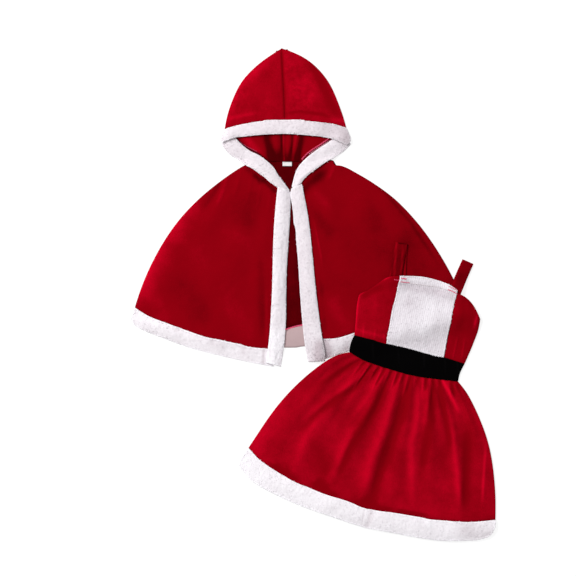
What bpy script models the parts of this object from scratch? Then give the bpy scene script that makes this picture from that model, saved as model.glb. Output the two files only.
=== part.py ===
"""Hooded velvet cape for a baby, laid flat with its front up, and a pinafore dress laid across its
lower right.

Each cloth piece is a wall over a grid of points. The grid fills the four seam lines around the piece,
and the piece lies on whatever is on the table already, raised by its own folds. The tables give
millimetres. In a garment's own frame "across" runs to the right and "drop" runs towards its hem.
On the table X runs to the right, Y towards the hood and Z up.
"""

import math

import bmesh
import bpy
import numpy as np

MM = 0.001

# Cloth
VELVET = 1.7  # thickness of the velvet
CENTRE_PLUSH = 2.3  # thickness of the plush centre panel of the bodice
PLUSH_RIM = 2.2  # thickness of a plush band at its edges
PLUSH_CROWN = 3.6  # thickness of a plush band along its middle
PLUSH_ROUND = 0.7  # how full the crown is: 1 is a plain arch, less is fuller
LABEL_WALL = 1.0  # thickness of the neck label
SEAM = 0.2  # each sewn edge stands back from its seam line by this
LAY_GAP = 0.3  # gap between a piece and what it lies on
FOLD_GAP = 0.9  # gap inside a folded layer
FOLD_STEPS = 3  # points between the two layers of a fold
SHARP_EDGE = 40.0  # degrees between faces from which an edge is shaded sharp

# Where each garment lies on the table, and how far its top leans to the right
CAPE_AT = (-49.81, 226.5)  # middle of the cape's back neck seam
CAPE_TURN = 0.0
DRESS_AT = (157.59, -107.6)  # middle of the dress's belt
DRESS_TURN = 15.5

# Height map of the table, on which each layer is laid
MAP_CELL = 1.5
MAP_WIDE = 720.0
MAP_LONG = 930.0
STAMP_STEP = 0.9  # longest step between the points that are recorded on the map
TEST_PARTS = 9  # parts of each cell that are tested against the map
TEST_PASSES = 40
TEST_CLEAR = 0.001
DRAPE_SLOPE = 0.55  # steepest fall of cloth beside a thing it lies on
EASE_SLOPE = 0.45  # steepest fall of cloth beside a raised point of its own
EASE_PASSES = 4
LINE_PARTS = 24  # parts between two given points of a smooth line

# Fabrics: red, green, blue, roughness
FABRICS = {
    "velvet_red": (0.40, 0.004, 0.012, 0.72),
    "velvet_black": (0.004, 0.004, 0.005, 0.7),
    "plush_white": (0.86, 0.82, 0.84, 0.9),
    "label_white": (0.88, 0.87, 0.87, 0.8),
}

# Cells of each kind of grid: rows, columns
CELLS = {
    "cape_back": (11, 22),
    "cape_hem_back": (22, 3),
    "cape_label": (3, 4),
    "cape_front": (13, 15),
    "cape_hem_front": (15, 3),
    "cape_trim": (20, 3),
    "hood_low": (4, 8),
    "hood_high": (9, 8),
    "hood_trim_low": (12, 3),
    "hood_trim_top": (24, 4),
    "strap": (6, 2),
    "bodice_back": (6, 14),
    "belt_back": (3, 14),
    "skirt_back": (10, 24),
    "skirt_hem_back": (3, 24),
    "bodice_side": (12, 7),
    "bodice_centre": (12, 12),
    "belt_front": (4, 30),
    "skirt_front": (12, 66),
    "skirt_hem_front": (3, 44),
}

# Slight unevenness of cloth that lies flat: height for each kind of piece, then the length and the
# start of its waves
UNEVEN = {
    "panel": 0.7,
    "band": 0.8,
    "label": 0.4,
    "hood_air": 0.9,
    "hood_wall": 0.5,
    "back": 0.6,
    "bodice": 1.2,
    "belt": 0.7,
}
WAVE_ACROSS = (17.0, 0.6)
WAVE_DROP = (14.0, -0.4)

# Cape corners: across, drop
SHOULDER_LEFT = (-67.0, 6.0)
SHOULDER_RIGHT = (85.0, -3.0)
HEM_LEFT = (-253.3, 248.5)
HEM_RIGHT = (307.7, 242.0)
NECK_LEFT = (-34.0, 0.0)
NECK_RIGHT = (37.4, 0.0)
V_LEFT = (1.0, 50.0)
V_RIGHT = (21.0, 43.0)
FRONT_HEM_LEFT = (-22.0, 319.5)
FRONT_HEM_RIGHT = (58.0, 303.0)

# Cape lines, each from its first named corner to its last: across, drop
CAPE_SIDE_LEFT = (
    SHOULDER_LEFT, (-93.3, 23.2), (-125.4, 47.3), (-142.1, 61.7), (-158.2, 77.2), (-173.4, 93.6),
    (-187.1, 110.7), (-209.5, 145.1), (-229.0, 182.6), (-243.2, 216.8), HEM_LEFT,
)
CAPE_SIDE_RIGHT = (
    SHOULDER_RIGHT, (97.4, 7.0), (115.7, 16.0), (136.7, 27.4), (157.9, 41.1), (177.5, 55.3),
    (197.0, 71.7), (236.5, 116.3), (271.6, 169.4), (288.3, 201.4), HEM_RIGHT,
)
CAPE_NECK_BACK = (SHOULDER_LEFT, NECK_LEFT, (0.0, 0.0), NECK_RIGHT, SHOULDER_RIGHT)
CAPE_NECK_LEFT = (SHOULDER_LEFT, (-42.0, 14.0), (-17.0, 31.0), V_LEFT)
CAPE_NECK_RIGHT = (V_RIGHT, (30.0, 30.0), (55.0, 10.0), SHOULDER_RIGHT)
CAPE_EDGE_LEFT = (V_LEFT, (-4.0, 130.0), (-9.0, 230.0), FRONT_HEM_LEFT)
CAPE_EDGE_RIGHT = (V_RIGHT, (31.0, 120.0), (43.0, 230.0), FRONT_HEM_RIGHT)
CAPE_HEM_BACK = (
    HEM_LEFT, (-170.0, 270.0), (-85.0, 279.5), (0.0, 281.5), (85.0, 280.0), (200.0, 265.5), HEM_RIGHT,
)
CAPE_HEM_FRONT_LEFT = (
    HEM_LEFT, (-231.9, 262.6), (-200.6, 274.6), (-134.3, 298.3), (-74.0, 313.6), FRONT_HEM_LEFT,
)
CAPE_HEM_FRONT_RIGHT = (FRONT_HEM_RIGHT, (97.0, 300.0), (118.0, 292.0), (215.0, 267.0), HEM_RIGHT)

# Lower edges of the cape's plush bands
BAND_BACK_LOW = (
    (-254.5, 271.0), (-200.0, 291.0), (-112.0, 309.0), (0.0, 316.5), (100.0, 311.5),
    (170.0, 300.0), (240.0, 284.0), (310.5, 263.0),
)
BAND_LEFT_LOW = (
    (-255.8, 276.8), (-238.7, 287.1), (-210.8, 297.7), (-170.0, 313.0), (-112.2, 328.9),
    (-54.4, 341.5), (-18.0, 348.0),
)
BAND_LEFT_END = (HEM_LEFT, (-257.7, 259.0), (-259.8, 270.0), (-255.8, 276.8))
BAND_LEFT_START = (FRONT_HEM_LEFT, (-18.0, 348.0))
BAND_RIGHT_LOW = (
    (56.0, 339.5), (98.6, 325.5), (115.6, 320.4), (170.0, 309.0), (268.0, 282.5), (314.0, 268.0),
)

# Plush front edges: left and right line of each, from the neck down to the hem
TRIM_LEFT_SIDES = (
    (
        (-10.4, 43.9), (-14.4, 80.8), (-17.7, 133.4), (-19.7, 211.7), (-21.9, 260.9),
        (-24.5, 298.3), (-26.9, 317.1), (-30.6, 341.5),
    ),
    (
        (11.2, 52.4), (10.9, 74.0), (8.8, 116.5), (4.6, 179.3), (3.4, 232.0), (3.0, 272.8),
        (-0.2, 314.3), (-5.4, 348.6),
    ),
)
TRIM_RIGHT_SIDES = (
    (
        (12.6, 46.6), (19.4, 89.2), (20.4, 126.6), (24.6, 175.9), (28.0, 232.0), (33.3, 292.6),
        (37.6, 325.4), (41.1, 340.6),
    ),
    (
        (30.2, 38.9), (38.4, 80.8), (43.7, 116.5), (49.0, 169.2), (54.2, 221.8), (63.2, 291.4),
        (69.0, 321.6), (69.7, 339.1),
    ),
)

# Hood: the centre seam, and each panel's outer line from the neck to the mouth and on to the peak
PEAK = (-3.9, -191.2)
MOUTH_SEAM = (1.5, -70.3)
MOUTH_LEFT = (-101.2, -55.3)
MOUTH_RIGHT = (106.3, -57.3)
HOOD_NECK = (0.0, -0.3)
HOOD_NECK_LEFT = (-34.0, -0.3)
HOOD_NECK_RIGHT = (37.4, -0.3)
HOOD_TIP_LEFT = (-13.8, -186.2)
HOOD_TIP_RIGHT = (6.9, -189.0)
HOOD_SEAM_LOW = (HOOD_NECK, MOUTH_SEAM)
HOOD_SEAM_HIGH = (MOUTH_SEAM, (0.6, -100.0), PEAK)
HOOD_MOUTH_LEFT = (MOUTH_SEAM, (-42.5, -68.2), (-73.1, -62.5), MOUTH_LEFT)
HOOD_MOUTH_RIGHT = (MOUTH_SEAM, (40.8, -68.8), (80.0, -64.0), MOUTH_RIGHT)
HOOD_OUTER_LEFT = (HOOD_NECK_LEFT, (-57.8, -9.4), (-79.9, -21.3), (-96.9, -34.9), MOUTH_LEFT)
HOOD_OUTER_RIGHT = (HOOD_NECK_RIGHT, (61.2, -11.0), (83.3, -23.0), (102.0, -36.5), MOUTH_RIGHT)
HOOD_SIDE_LEFT = (
    MOUTH_LEFT, (-99.9, -65.8), (-93.5, -89.8), (-82.4, -117.8), (-75.0, -131.3), (-66.6, -143.4),
    (-49.3, -160.8), (-37.5, -170.3), (-26.1, -178.4), HOOD_TIP_LEFT,
)
HOOD_SIDE_RIGHT = (
    MOUTH_RIGHT, (102.6, -71.8), (97.7, -86.1), (86.3, -115.4), (75.3, -137.1), (56.7, -159.5),
    (37.1, -175.5), (15.0, -186.2), HOOD_TIP_RIGHT,
)

# Air under the hood's front half
HOOD_AIR = 3.0  # height at the mouth
HOOD_AIR_TIP = 0.35  # share of it that is left at the peak
HOOD_AIR_WIDE = 0.62  # share of the width, from the side fold, over which it rises
SEAM_SINK = 0.55  # share by which the centre seam sinks into it
SEAM_SINK_WIDE = 0.09  # share of the width that sinks

# Plush bands round the face: outer and inner line of each, and the upper band's two ends
TRIM_TOP_SIDES = (
    (
        (-101.0, -55.0), (-73.1, -62.1), (-42.5, -67.8), (1.5, -69.9), (40.8, -68.4),
        (80.0, -63.6), (106.0, -57.0),
    ),
    (
        (-105.0, -32.2), (-84.1, -39.9), (-56.1, -45.0), (-0.8, -48.1), (47.6, -45.0),
        (73.1, -41.6), (107.0, -27.5),
    ),
)
TRIM_TOP_ENDS = (
    ((-101.0, -55.0), (-105.5, -44.0), (-108.3, -35.5), (-105.0, -32.2)),
    ((106.0, -57.0), (110.8, -46.0), (114.0, -33.5), (107.0, -27.5)),
)
TRIM_TOP_LIFT = 2.6  # how far the upper band's middle arches up from the mouth
TRIM_TOP_ARCH = 0.6  # how full that arch is: 1 is a plain arch, less is fuller
TRIM_LOW_LEFT_SIDES = (
    ((-107.0, -30.5), (-91.8, -11.0), (-68.0, 1.5), (-42.5, 20.4), (-22.1, 34.9), (-10.4, 43.2)),
    ((-88.0, -46.0), (-68.0, -24.6), (-35.7, -2.5), (-22.1, 9.3), (-8.5, 25.5), (11.2, 51.7)),
)
TRIM_LOW_RIGHT_SIDES = (
    ((113.5, -29.5), (101.0, -16.5), (85.8, -7.0), (56.1, 14.4), (40.8, 25.5), (30.2, 38.2)),
    ((92.0, -46.0), (79.9, -34.9), (56.1, -19.6), (39.1, -6.0), (22.1, 13.0), (12.6, 45.9)),
)

# Neck label corners
LABEL_HIGH = ((-2.3, 0.9), (13.4, 0.9))
LABEL_LOW = ((-2.3, 9.3), (13.4, 9.3))

# Dress corners: across, drop
UNDERARM_LEFT = (-105.8, -80.7)
UNDERARM_RIGHT = (103.6, -97.5)
CENTRE_TOP_LEFT = (-46.8, -131.6)
CENTRE_TOP_RIGHT = (53.2, -134.0)
SIDE_TOP_RIGHT = (53.4, -129.5)
CENTRE_LOW_LEFT = (-37.9, -15.6)
CENTRE_LOW_RIGHT = (60.6, -18.4)
WAIST_TOP_LEFT = (-95.6, -14.2)
WAIST_TOP_RIGHT = (98.3, -17.2)
WAIST_LOW_LEFT = (-96.4, 15.3)
WAIST_LOW_RIGHT = (95.8, 14.8)
SKIRT_HEM_LEFT = (-217.4, 218.6)
SKIRT_HEM_RIGHT = (219.6, 224.5)

# Dress lines
BODICE_SIDE_LEFT = (UNDERARM_LEFT, (-104.5, -62.7), (-99.1, -36.0), WAIST_TOP_LEFT)
BODICE_SIDE_RIGHT = (UNDERARM_RIGHT, (105.9, -79.0), (104.1, -57.1), WAIST_TOP_RIGHT)
ARMHOLE_LEFT = (UNDERARM_LEFT, (-87.7, -100.0), (-71.9, -119.4), (-64.8, -126.0), CENTRE_TOP_LEFT)
ARMHOLE_RIGHT = (SIDE_TOP_RIGHT, (64.0, -128.3), (79.7, -121.8), (91.7, -111.0), UNDERARM_RIGHT)
CENTRE_SEAM_LEFT = (CENTRE_TOP_LEFT, (-44.1, -89.2), (-40.9, -52.2), CENTRE_LOW_LEFT)
CENTRE_SEAM_RIGHT = (CENTRE_TOP_RIGHT, (54.3, -103.3), (56.1, -64.9), CENTRE_LOW_RIGHT)
SIDE_SEAM_RIGHT = (SIDE_TOP_RIGHT, (54.3, -103.3), (56.1, -64.9), CENTRE_LOW_RIGHT)
CENTRE_TOP = (CENTRE_TOP_LEFT, (-10.6, -140.0), (17.4, -141.0), (37.3, -139.1), CENTRE_TOP_RIGHT)
BACK_TOP = (UNDERARM_LEFT, (-60.0, -92.0), (0.0, -96.0), (60.0, -98.0), UNDERARM_RIGHT)
WAIST_LEFT = (WAIST_TOP_LEFT, (-67.6, -14.8), CENTRE_LOW_LEFT)
WAIST_CENTRE = (CENTRE_LOW_LEFT, (-1.3, -17.3), (33.4, -17.2), CENTRE_LOW_RIGHT)
WAIST_RIGHT = (CENTRE_LOW_RIGHT, WAIST_TOP_RIGHT)
WAIST_TOP = WAIST_LEFT + WAIST_CENTRE[1:] + WAIST_RIGHT[1:]
WAIST_LOW = (
    WAIST_LOW_LEFT, (-70.4, 22.6), (-40.8, 25.0), (-5.1, 26.1), (26.4, 25.1), (53.5, 21.6),
    (80.8, 17.3), WAIST_LOW_RIGHT,
)
BELT_END_LEFT = (WAIST_TOP_LEFT, (-98.0, 0.0), WAIST_LOW_LEFT)
BELT_END_RIGHT = (WAIST_TOP_RIGHT, (94.6, 1.5), WAIST_LOW_RIGHT)
SKIRT_SIDE_LEFT = (
    WAIST_LOW_LEFT, (-110.3, 22.1), (-119.9, 30.2), (-129.9, 40.6), (-144.0, 58.5), (-153.8, 72.0),
    (-169.9, 97.8), (-184.0, 125.0), (-193.4, 147.0), (-202.0, 170.8), (-209.1, 193.4), SKIRT_HEM_LEFT,
)
SKIRT_SIDE_RIGHT = (
    WAIST_LOW_RIGHT, (112.2, 26.0), (126.4, 40.5), (141.2, 57.3), (154.8, 74.6), (165.5, 89.4),
    (175.8, 106.1), (186.9, 128.1), (198.1, 155.0), (209.8, 188.1), SKIRT_HEM_RIGHT,
)
SKIRT_HEM = (
    SKIRT_HEM_LEFT, (-190.7, 234.6), (-139.6, 250.4), (-82.8, 261.1), (-29.4, 263.4), (3.5, 267.2),
    (54.5, 260.8), (92.3, 257.0), (127.7, 250.4), (176.1, 240.5), SKIRT_HEM_RIGHT,
)
SKIRT_BAND_LOW = (
    (-225.6, 252.4), (-207.3, 264.2), (-190.4, 273.4), (-146.5, 283.0), (-100.5, 289.6),
    (-49.9, 292.8), (2.6, 295.5), (45.8, 292.5), (113.4, 286.5), (151.7, 279.7), (198.0, 265.0),
    (217.0, 254.0),
)
BAND_END_LEFT = (SKIRT_HEM_LEFT, (-223.6, 235.0), (-225.6, 252.4))
BAND_END_RIGHT = (SKIRT_HEM_RIGHT, (221.8, 239.0), (217.0, 254.0))

# Straps: middle of the top fold, of the front end and of the back end
STRAP_WIDE = 20.2
STRAPS = {
    "strap_left": ((-60.6, -186.6), (-54.0, -121.0), (-44.5, -121.0)),
    "strap_right": ((57.6, -186.4), (48.4, -121.0), (47.0, -121.0)),
}

# Soft folds of the cape's fronts: from across, drop; to across, drop; height; half width
FOLDS_LEFT = (
    (-62.0, 22.0, -150.0, 130.0, 2.8, 15.0),
    (-46.0, 30.0, -108.0, 240.0, 3.4, 20.0),
    (-26.0, 44.0, -46.0, 300.0, 2.8, 13.0),
    (-176.0, 110.0, -224.0, 250.0, 2.6, 17.0),
    (-120.0, 190.0, -172.0, 290.0, 2.4, 16.0),
)
FOLDS_RIGHT = (
    (74.0, 8.0, 160.0, 92.0, 3.0, 14.0),
    (52.0, 30.0, 120.0, 210.0, 3.4, 19.0),
    (40.0, 52.0, 78.0, 296.0, 2.6, 14.0),
    (130.0, 36.0, 250.0, 170.0, 2.6, 18.0),
)
FOLD_SPAN = (0.12, 0.88)  # the stretch of half a wave over which a fold's height runs

# Gathers of the hood's neck, seen through the mouth: across at the neck, across at the mouth,
# height, half width
NECK_GATHERS = (
    (-26.0, -62.0, 2.2, 6.5),
    (-17.0, -38.0, 3.2, 5.5),
    (-8.5, -15.0, 2.4, 4.5),
    (8.5, 12.0, 2.4, 4.5),
    (17.0, 33.0, 3.2, 5.5),
    (27.0, 60.0, 2.2, 6.5),
)
NECK_GATHER_START = 0.25  # how far into half a wave a gather is at the neck
NECK_GATHER_RIM = 0.2  # share of the panel's width over which gathers fade at its outer edge

# Gathers of the skirt's front: place at the belt and at the hem as a share of the width, how far
# down it runs as a share of the length, height, half width as a share of the width
SKIRT_GATHERS = (
    (0.035, 0.030, 0.50, 3.2, 0.018),
    (0.100, 0.085, 1.05, 4.6, 0.027),
    (0.160, 0.145, 0.45, 4.2, 0.018),
    (0.220, 0.205, 1.15, 5.8, 0.030),
    (0.285, 0.265, 0.55, 4.6, 0.019),
    (0.385, 0.375, 1.20, 7.6, 0.029),
    (0.445, 0.430, 0.50, 4.8, 0.018),
    (0.505, 0.465, 1.05, 6.0, 0.026),
    (0.595, 0.580, 1.20, 7.2, 0.028),
    (0.645, 0.640, 0.40, 4.2, 0.017),
    (0.700, 0.745, 1.15, 6.6, 0.028),
    (0.757, 0.800, 0.50, 4.8, 0.018),
    (0.815, 0.860, 1.10, 5.8, 0.026),
    (0.870, 0.910, 0.40, 3.8, 0.016),
    (0.930, 0.965, 1.00, 4.8, 0.021),
)
GATHER_SPREAD = (0.62, 1.47)  # share of the half width at the belt and at the hem
GATHER_START = 0.42  # share of the height at the belt
GATHER_RISE = 0.14  # share of the length over which the height comes up to full
GATHER_FALL = 0.75  # power of the fall towards the hem
SKIRT_SWELL = 1.4  # air under the skirt's middle
HEM_FALL = 0.75  # share of the folds' height that is left at the hem band's lower edge
BELT_LIFT = 0.9  # air under the belt

# Shares of the width over which folds fade at each side
RIM_CAPE = 0.12
RIM_BODICE = 0.2
RIM_BELT = 0.05
RIM_SKIRT = 0.05


# Lines and grids

def smooth(points, parts):
    """Points evenly spaced along a smooth line through the given ones."""
    knots = np.array(points, dtype=float)
    if len(knots) == 2:
        steps = np.linspace(0.0, 1.0, parts + 1)[:, None]
        return knots[0] + (knots[1] - knots[0]) * steps
    ends = np.vstack([2.0 * knots[0] - knots[1], knots, 2.0 * knots[-1] - knots[-2]])
    fine = []
    for i in range(1, len(ends) - 2):
        a, b, c, d = ends[i - 1:i + 3]
        for s in np.linspace(0.0, 1.0, LINE_PARTS, endpoint=False):
            bend = (2.0 * a - 5.0 * b + 4.0 * c - d) * s * s + (3.0 * b - a - 3.0 * c + d) * s ** 3
            fine.append(0.5 * (2.0 * b + (c - a) * s + bend))
    fine.append(knots[-1])
    fine = np.array(fine)
    run = np.concatenate([[0.0], np.cumsum(np.linalg.norm(np.diff(fine, axis=0), axis=1))])
    marks = np.linspace(0.0, run[-1], parts + 1)
    return np.stack([np.interp(marks, run, fine[:, k]) for k in range(2)], axis=1)


def patch(kind, top, bottom, left, right):
    """Grid that fills four seam lines: its rows run from top to bottom, its columns left to right."""
    rows, cols = CELLS[kind]
    upper = smooth(top, cols)
    lower = smooth(bottom, cols)
    v = np.linspace(0.0, 1.0, rows + 1)[:, None, None]
    u = np.linspace(0.0, 1.0, cols + 1)[None, :, None]
    down = (1 - v) * upper[None] + v * lower[None]
    along = (1 - u) * smooth(left, rows)[:, None] + u * smooth(right, rows)[:, None]
    corners = (1 - v) * ((1 - u) * upper[0] + u * upper[-1]) + v * ((1 - u) * lower[0] + u * lower[-1])
    return down + along - corners


def band(kind, sides, ends=None):
    """Grid of a strip: its rows run along the strip, its columns across it."""
    first, last = sides
    if ends is None:
        ends = ((first[0], last[0]), (first[-1], last[-1]))
    return patch(kind, ends[0], ends[1], first, last)


def stand_back(grid, gap):
    """Moves a grid's rim inwards by a gap, square to each edge."""
    out = grid.copy()
    for edge, inner in ((0, 1), (-1, -2)):
        for view in (out, out.transpose(1, 0, 2)):
            tangent = np.gradient(view[edge], axis=0)
            normal = np.stack([-tangent[:, 1], tangent[:, 0]], axis=1)
            normal /= np.linalg.norm(normal, axis=1)[:, None]
            inward = np.sign(np.sum(normal * (view[inner] - view[edge]), axis=1))[:, None]
            view[edge] += normal * inward * gap
    return out


def on_table(plan, at, turn):
    """Garment points, across and drop, as table points."""
    lean = math.radians(turn)
    across = plan[..., 0]
    drop = plan[..., 1]
    x = at[0] + across * math.cos(lean) - drop * math.sin(lean)
    y = at[1] - across * math.sin(lean) - drop * math.cos(lean)
    return np.stack([x, y], axis=-1)


def split_cells(grid, parts):
    """The points of a grid whose cells are each split into parts, on straight lines."""
    for axis in (0, 1):
        count = grid.shape[axis] - 1
        place = np.arange(count * parts + 1) / parts
        low = np.minimum(place.astype(int), count - 1)
        share = (place - low).reshape([-1 if k == axis else 1 for k in range(grid.ndim)])
        grid = np.take(grid, low, axis) * (1 - share) + np.take(grid, low + 1, axis) * share
    return grid


def twist(heights):
    """How far each cell's corners lie off one plane, a quarter of which its two halves may differ."""
    return np.abs(heights[1:, 1:] + heights[:-1, :-1] - heights[1:, :-1] - heights[:-1, 1:]) / 4


# The table and what lies on it

def shifted_max(heights, fall):
    """Each place takes its neighbours' height less the fall on the way, where that is more."""
    out = heights.copy()
    for dy in (-1, 0, 1):
        for dx in (-1, 0, 1):
            away = fall * math.hypot(dx, dy)
            out = np.maximum(out, np.roll(heights, (dy, dx), axis=(0, 1)) - away)
    return out


class Table:
    """Heights of the cloth that is laid already, in square cells."""

    def __init__(self):
        self.heights = np.zeros((int(MAP_LONG / MAP_CELL), int(MAP_WIDE / MAP_CELL)))

    def cells(self, plan):
        col = ((plan[..., 0] + MAP_WIDE / 2) / MAP_CELL).astype(int)
        row = ((plan[..., 1] + MAP_LONG / 2) / MAP_CELL).astype(int)
        return row, col

    def stamp(self, points):
        """Records a laid surface, given as a grid of points."""
        longest = max(np.abs(np.diff(points, axis=0)).max(), np.abs(np.diff(points, axis=1)).max())
        parts = max(2, int(longest / STAMP_STEP))
        fine = split_cells(points, parts)
        row = np.minimum(np.arange(fine.shape[0]) // parts, points.shape[0] - 2)
        col = np.minimum(np.arange(fine.shape[1]) // parts, points.shape[1] - 2)
        top = fine[..., 2] + twist(points[..., 2])[row][:, col]
        np.maximum.at(self.heights, self.cells(fine), top)

    def ground(self):
        """Lowest place for the underside of the next piece."""
        wide = shifted_max(self.heights, 0.0)
        return np.where(wide > 0.0, wide + LAY_GAP, 0.0)

    def lie(self, plan, relief):
        """Underside heights of a piece laid on the table with the given folds."""
        ground = self.ground()
        slope = ground
        for _ in range(int(ground.max() / (DRAPE_SLOPE * MAP_CELL)) + 1):
            slope = shifted_max(slope, DRAPE_SLOPE * MAP_CELL)
        under = slope[self.cells(plan)] + relief
        rows = under.shape[0] - 1
        cols = under.shape[1] - 1
        floor = ground[self.cells(split_cells(plan, TEST_PARTS))]
        for _ in range(TEST_PASSES):
            short = floor - split_cells(under, TEST_PARTS)
            worst = np.zeros((rows, cols))
            for i in range(TEST_PARTS + 1):
                for j in range(TEST_PARTS + 1):
                    tested = short[i:i + rows * TEST_PARTS:TEST_PARTS, j:j + cols * TEST_PARTS:TEST_PARTS]
                    worst = np.maximum(worst, tested[:rows, :cols])
            worst = np.where(worst > 0.0, worst + twist(under), 0.0)
            if worst.max() < TEST_CLEAR:
                break
            raise_by = np.zeros_like(under)
            for i in (0, 1):
                for j in (0, 1):
                    corner = raise_by[i:i + rows, j:j + cols]
                    np.maximum(corner, worst, out=corner)
            under = under + raise_by
        return ease(under, plan)


def ease(under, plan):
    """Lifts the neighbours of a raised point, so that no point stands up alone."""
    for _ in range(EASE_PASSES):
        for axis in (0, 1):
            run = np.linalg.norm(np.diff(plan, axis=axis), axis=-1) * EASE_SLOPE
            ahead = under[1:] if axis == 0 else under[:, 1:]
            behind = under[:-1] if axis == 0 else under[:, :-1]
            lifted = np.maximum(behind, ahead - run)
            ahead_lifted = np.maximum(ahead, behind - run)
            behind[...] = lifted
            ahead[...] = np.maximum(ahead, ahead_lifted)
    return under


# Folds

def flat(grid):
    """No folds."""
    return np.zeros(grid.shape[:2])


def uneven(grid, kind):
    """Slight unevenness of cloth that lies flat."""
    length_across, start_across = WAVE_ACROSS
    length_drop, start_drop = WAVE_DROP
    wave_across = np.sin(grid[..., 0] / length_across + start_across)
    wave_drop = np.cos(grid[..., 1] / length_drop + start_drop)
    return UNEVEN[kind] * (1.0 + wave_across * wave_drop) / 2


def ridges(grid, folds):
    """Soft ridges along straight runs."""
    high = np.zeros(grid.shape[:2])
    first, last = FOLD_SPAN
    for from_across, from_drop, to_across, to_drop, height, half_wide in folds:
        start = np.array([from_across, from_drop])
        run = np.array([to_across, to_drop]) - start
        along = np.clip(((grid - start) @ run) / (run @ run), 0.0, 1.0)
        off = np.linalg.norm(grid - (start + along[..., None] * run), axis=-1)
        crest = np.sin(math.pi * (first + (last - first) * along))
        high += height * np.exp(-((off / half_wide) ** 2)) * crest
    return high


def rim_fade(grid, share):
    """Falls to 0 at a grid's left and right edges over a share of its width."""
    u = np.linspace(0.0, 1.0, grid.shape[1])
    fade = np.clip(np.minimum(u, 1.0 - u) / share, 0.0, 1.0)
    return np.tile(np.sin(fade * math.pi / 2), (grid.shape[0], 1))


def gathers(grid):
    """Height of the skirt's gathers, over its grid."""
    u = np.linspace(0.0, 1.0, grid.shape[1])[None, :]
    v = np.linspace(0.0, 1.0, grid.shape[0])[:, None]
    spread_belt, spread_hem = GATHER_SPREAD
    spread = spread_belt + (spread_hem - spread_belt) * v
    rise = GATHER_START + (1.0 - GATHER_START) * np.clip(v / GATHER_RISE, 0.0, 1.0)
    high = SKIRT_SWELL * np.sin(math.pi * v) * np.sin(math.pi * u)
    for at_belt, at_hem, reach, height, half_wide in SKIRT_GATHERS:
        middle = at_belt + (at_hem - at_belt) * v
        fall = np.clip(1.0 - v / reach, 0.0, 1.0) ** GATHER_FALL
        high = high + height * rise * fall * np.exp(-(((u - middle) / (half_wide * spread)) ** 2))
    return high * rim_fade(grid, RIM_SKIRT)


# Cloth pieces

def fabric(name):
    """The fabric's material."""
    if name in bpy.data.materials:
        return bpy.data.materials[name]
    red, green, blue, rough = FABRICS[name]
    material = bpy.data.materials.new(name)
    material.use_nodes = True
    shader = material.node_tree.nodes["Principled BSDF"]
    shader.inputs["Base Color"].default_value = (red, green, blue, 1.0)
    shader.inputs["Roughness"].default_value = rough
    shader.inputs["Metallic"].default_value = 0.0
    return material


def wall(name, outside, inside, cloth, keep=None):
    """Closed wall between two grids of points. keep marks the cells that are cloth."""
    rows = outside.shape[0] - 1
    cols = outside.shape[1] - 1
    if keep is None:
        keep = np.ones((rows, cols), dtype=bool)
    mesh = bmesh.new()
    made = {}

    def corner(skin, i, j):
        key = (skin, i, j)
        if key not in made:
            grid = outside if skin == 0 else inside
            made[key] = mesh.verts.new([float(value) * MM for value in grid[i, j]])
        return made[key]

    def is_cloth(i, j):
        return 0 <= i < rows and 0 <= j < cols and keep[i, j]

    for i in range(rows):
        for j in range(cols):
            if not keep[i, j]:
                continue
            ring = ((i, j), (i + 1, j), (i + 1, j + 1), (i, j + 1))
            for skin in (0, 1):
                mesh.faces.new([corner(skin, *place) for place in ring])
            beside = ((i, j - 1), (i + 1, j), (i, j + 1), (i - 1, j))
            for k, cell in enumerate(beside):
                if not is_cloth(*cell):
                    a = ring[k]
                    b = ring[(k + 1) % 4]
                    mesh.faces.new([corner(0, *b), corner(0, *a), corner(1, *a), corner(1, *b)])
    bmesh.ops.recalc_face_normals(mesh, faces=mesh.faces)
    data = bpy.data.meshes.new(name)
    mesh.to_mesh(data)
    mesh.free()
    data.shade_smooth()
    data.set_sharp_from_angle(angle=math.radians(SHARP_EDGE))
    data.materials.append(fabric(cloth))
    piece = bpy.data.objects.new(name, data)
    bpy.context.scene.collection.objects.link(piece)
    return piece


def velvet(grid):
    """Thickness of velvet."""
    return np.full(grid.shape[:2], VELVET)


def plush(grid, across):
    """Thickness of a plush band, crowned across the given axis of its grid."""
    share = np.linspace(0.0, 1.0, grid.shape[across])
    crown = PLUSH_RIM + (PLUSH_CROWN - PLUSH_RIM) * np.sin(math.pi * share) ** PLUSH_ROUND
    return flat(grid) + (crown[:, None] if across == 0 else crown[None, :])


def lay(table, at, turn, pieces):
    """Lays the pieces of one layer: each a name, cloth, grid, folds and thickness."""
    laid = []
    for name, cloth, grid, relief, thick in pieces:
        plan = on_table(stand_back(grid, SEAM), at, turn)
        under = table.lie(plan, relief)
        low = np.concatenate([plan, under[..., None]], axis=-1)
        high = np.concatenate([plan, (under + thick)[..., None]], axis=-1)
        laid.append(high)
        wall(name, high, low, cloth)
    for high in laid:
        table.stamp(high)


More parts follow.
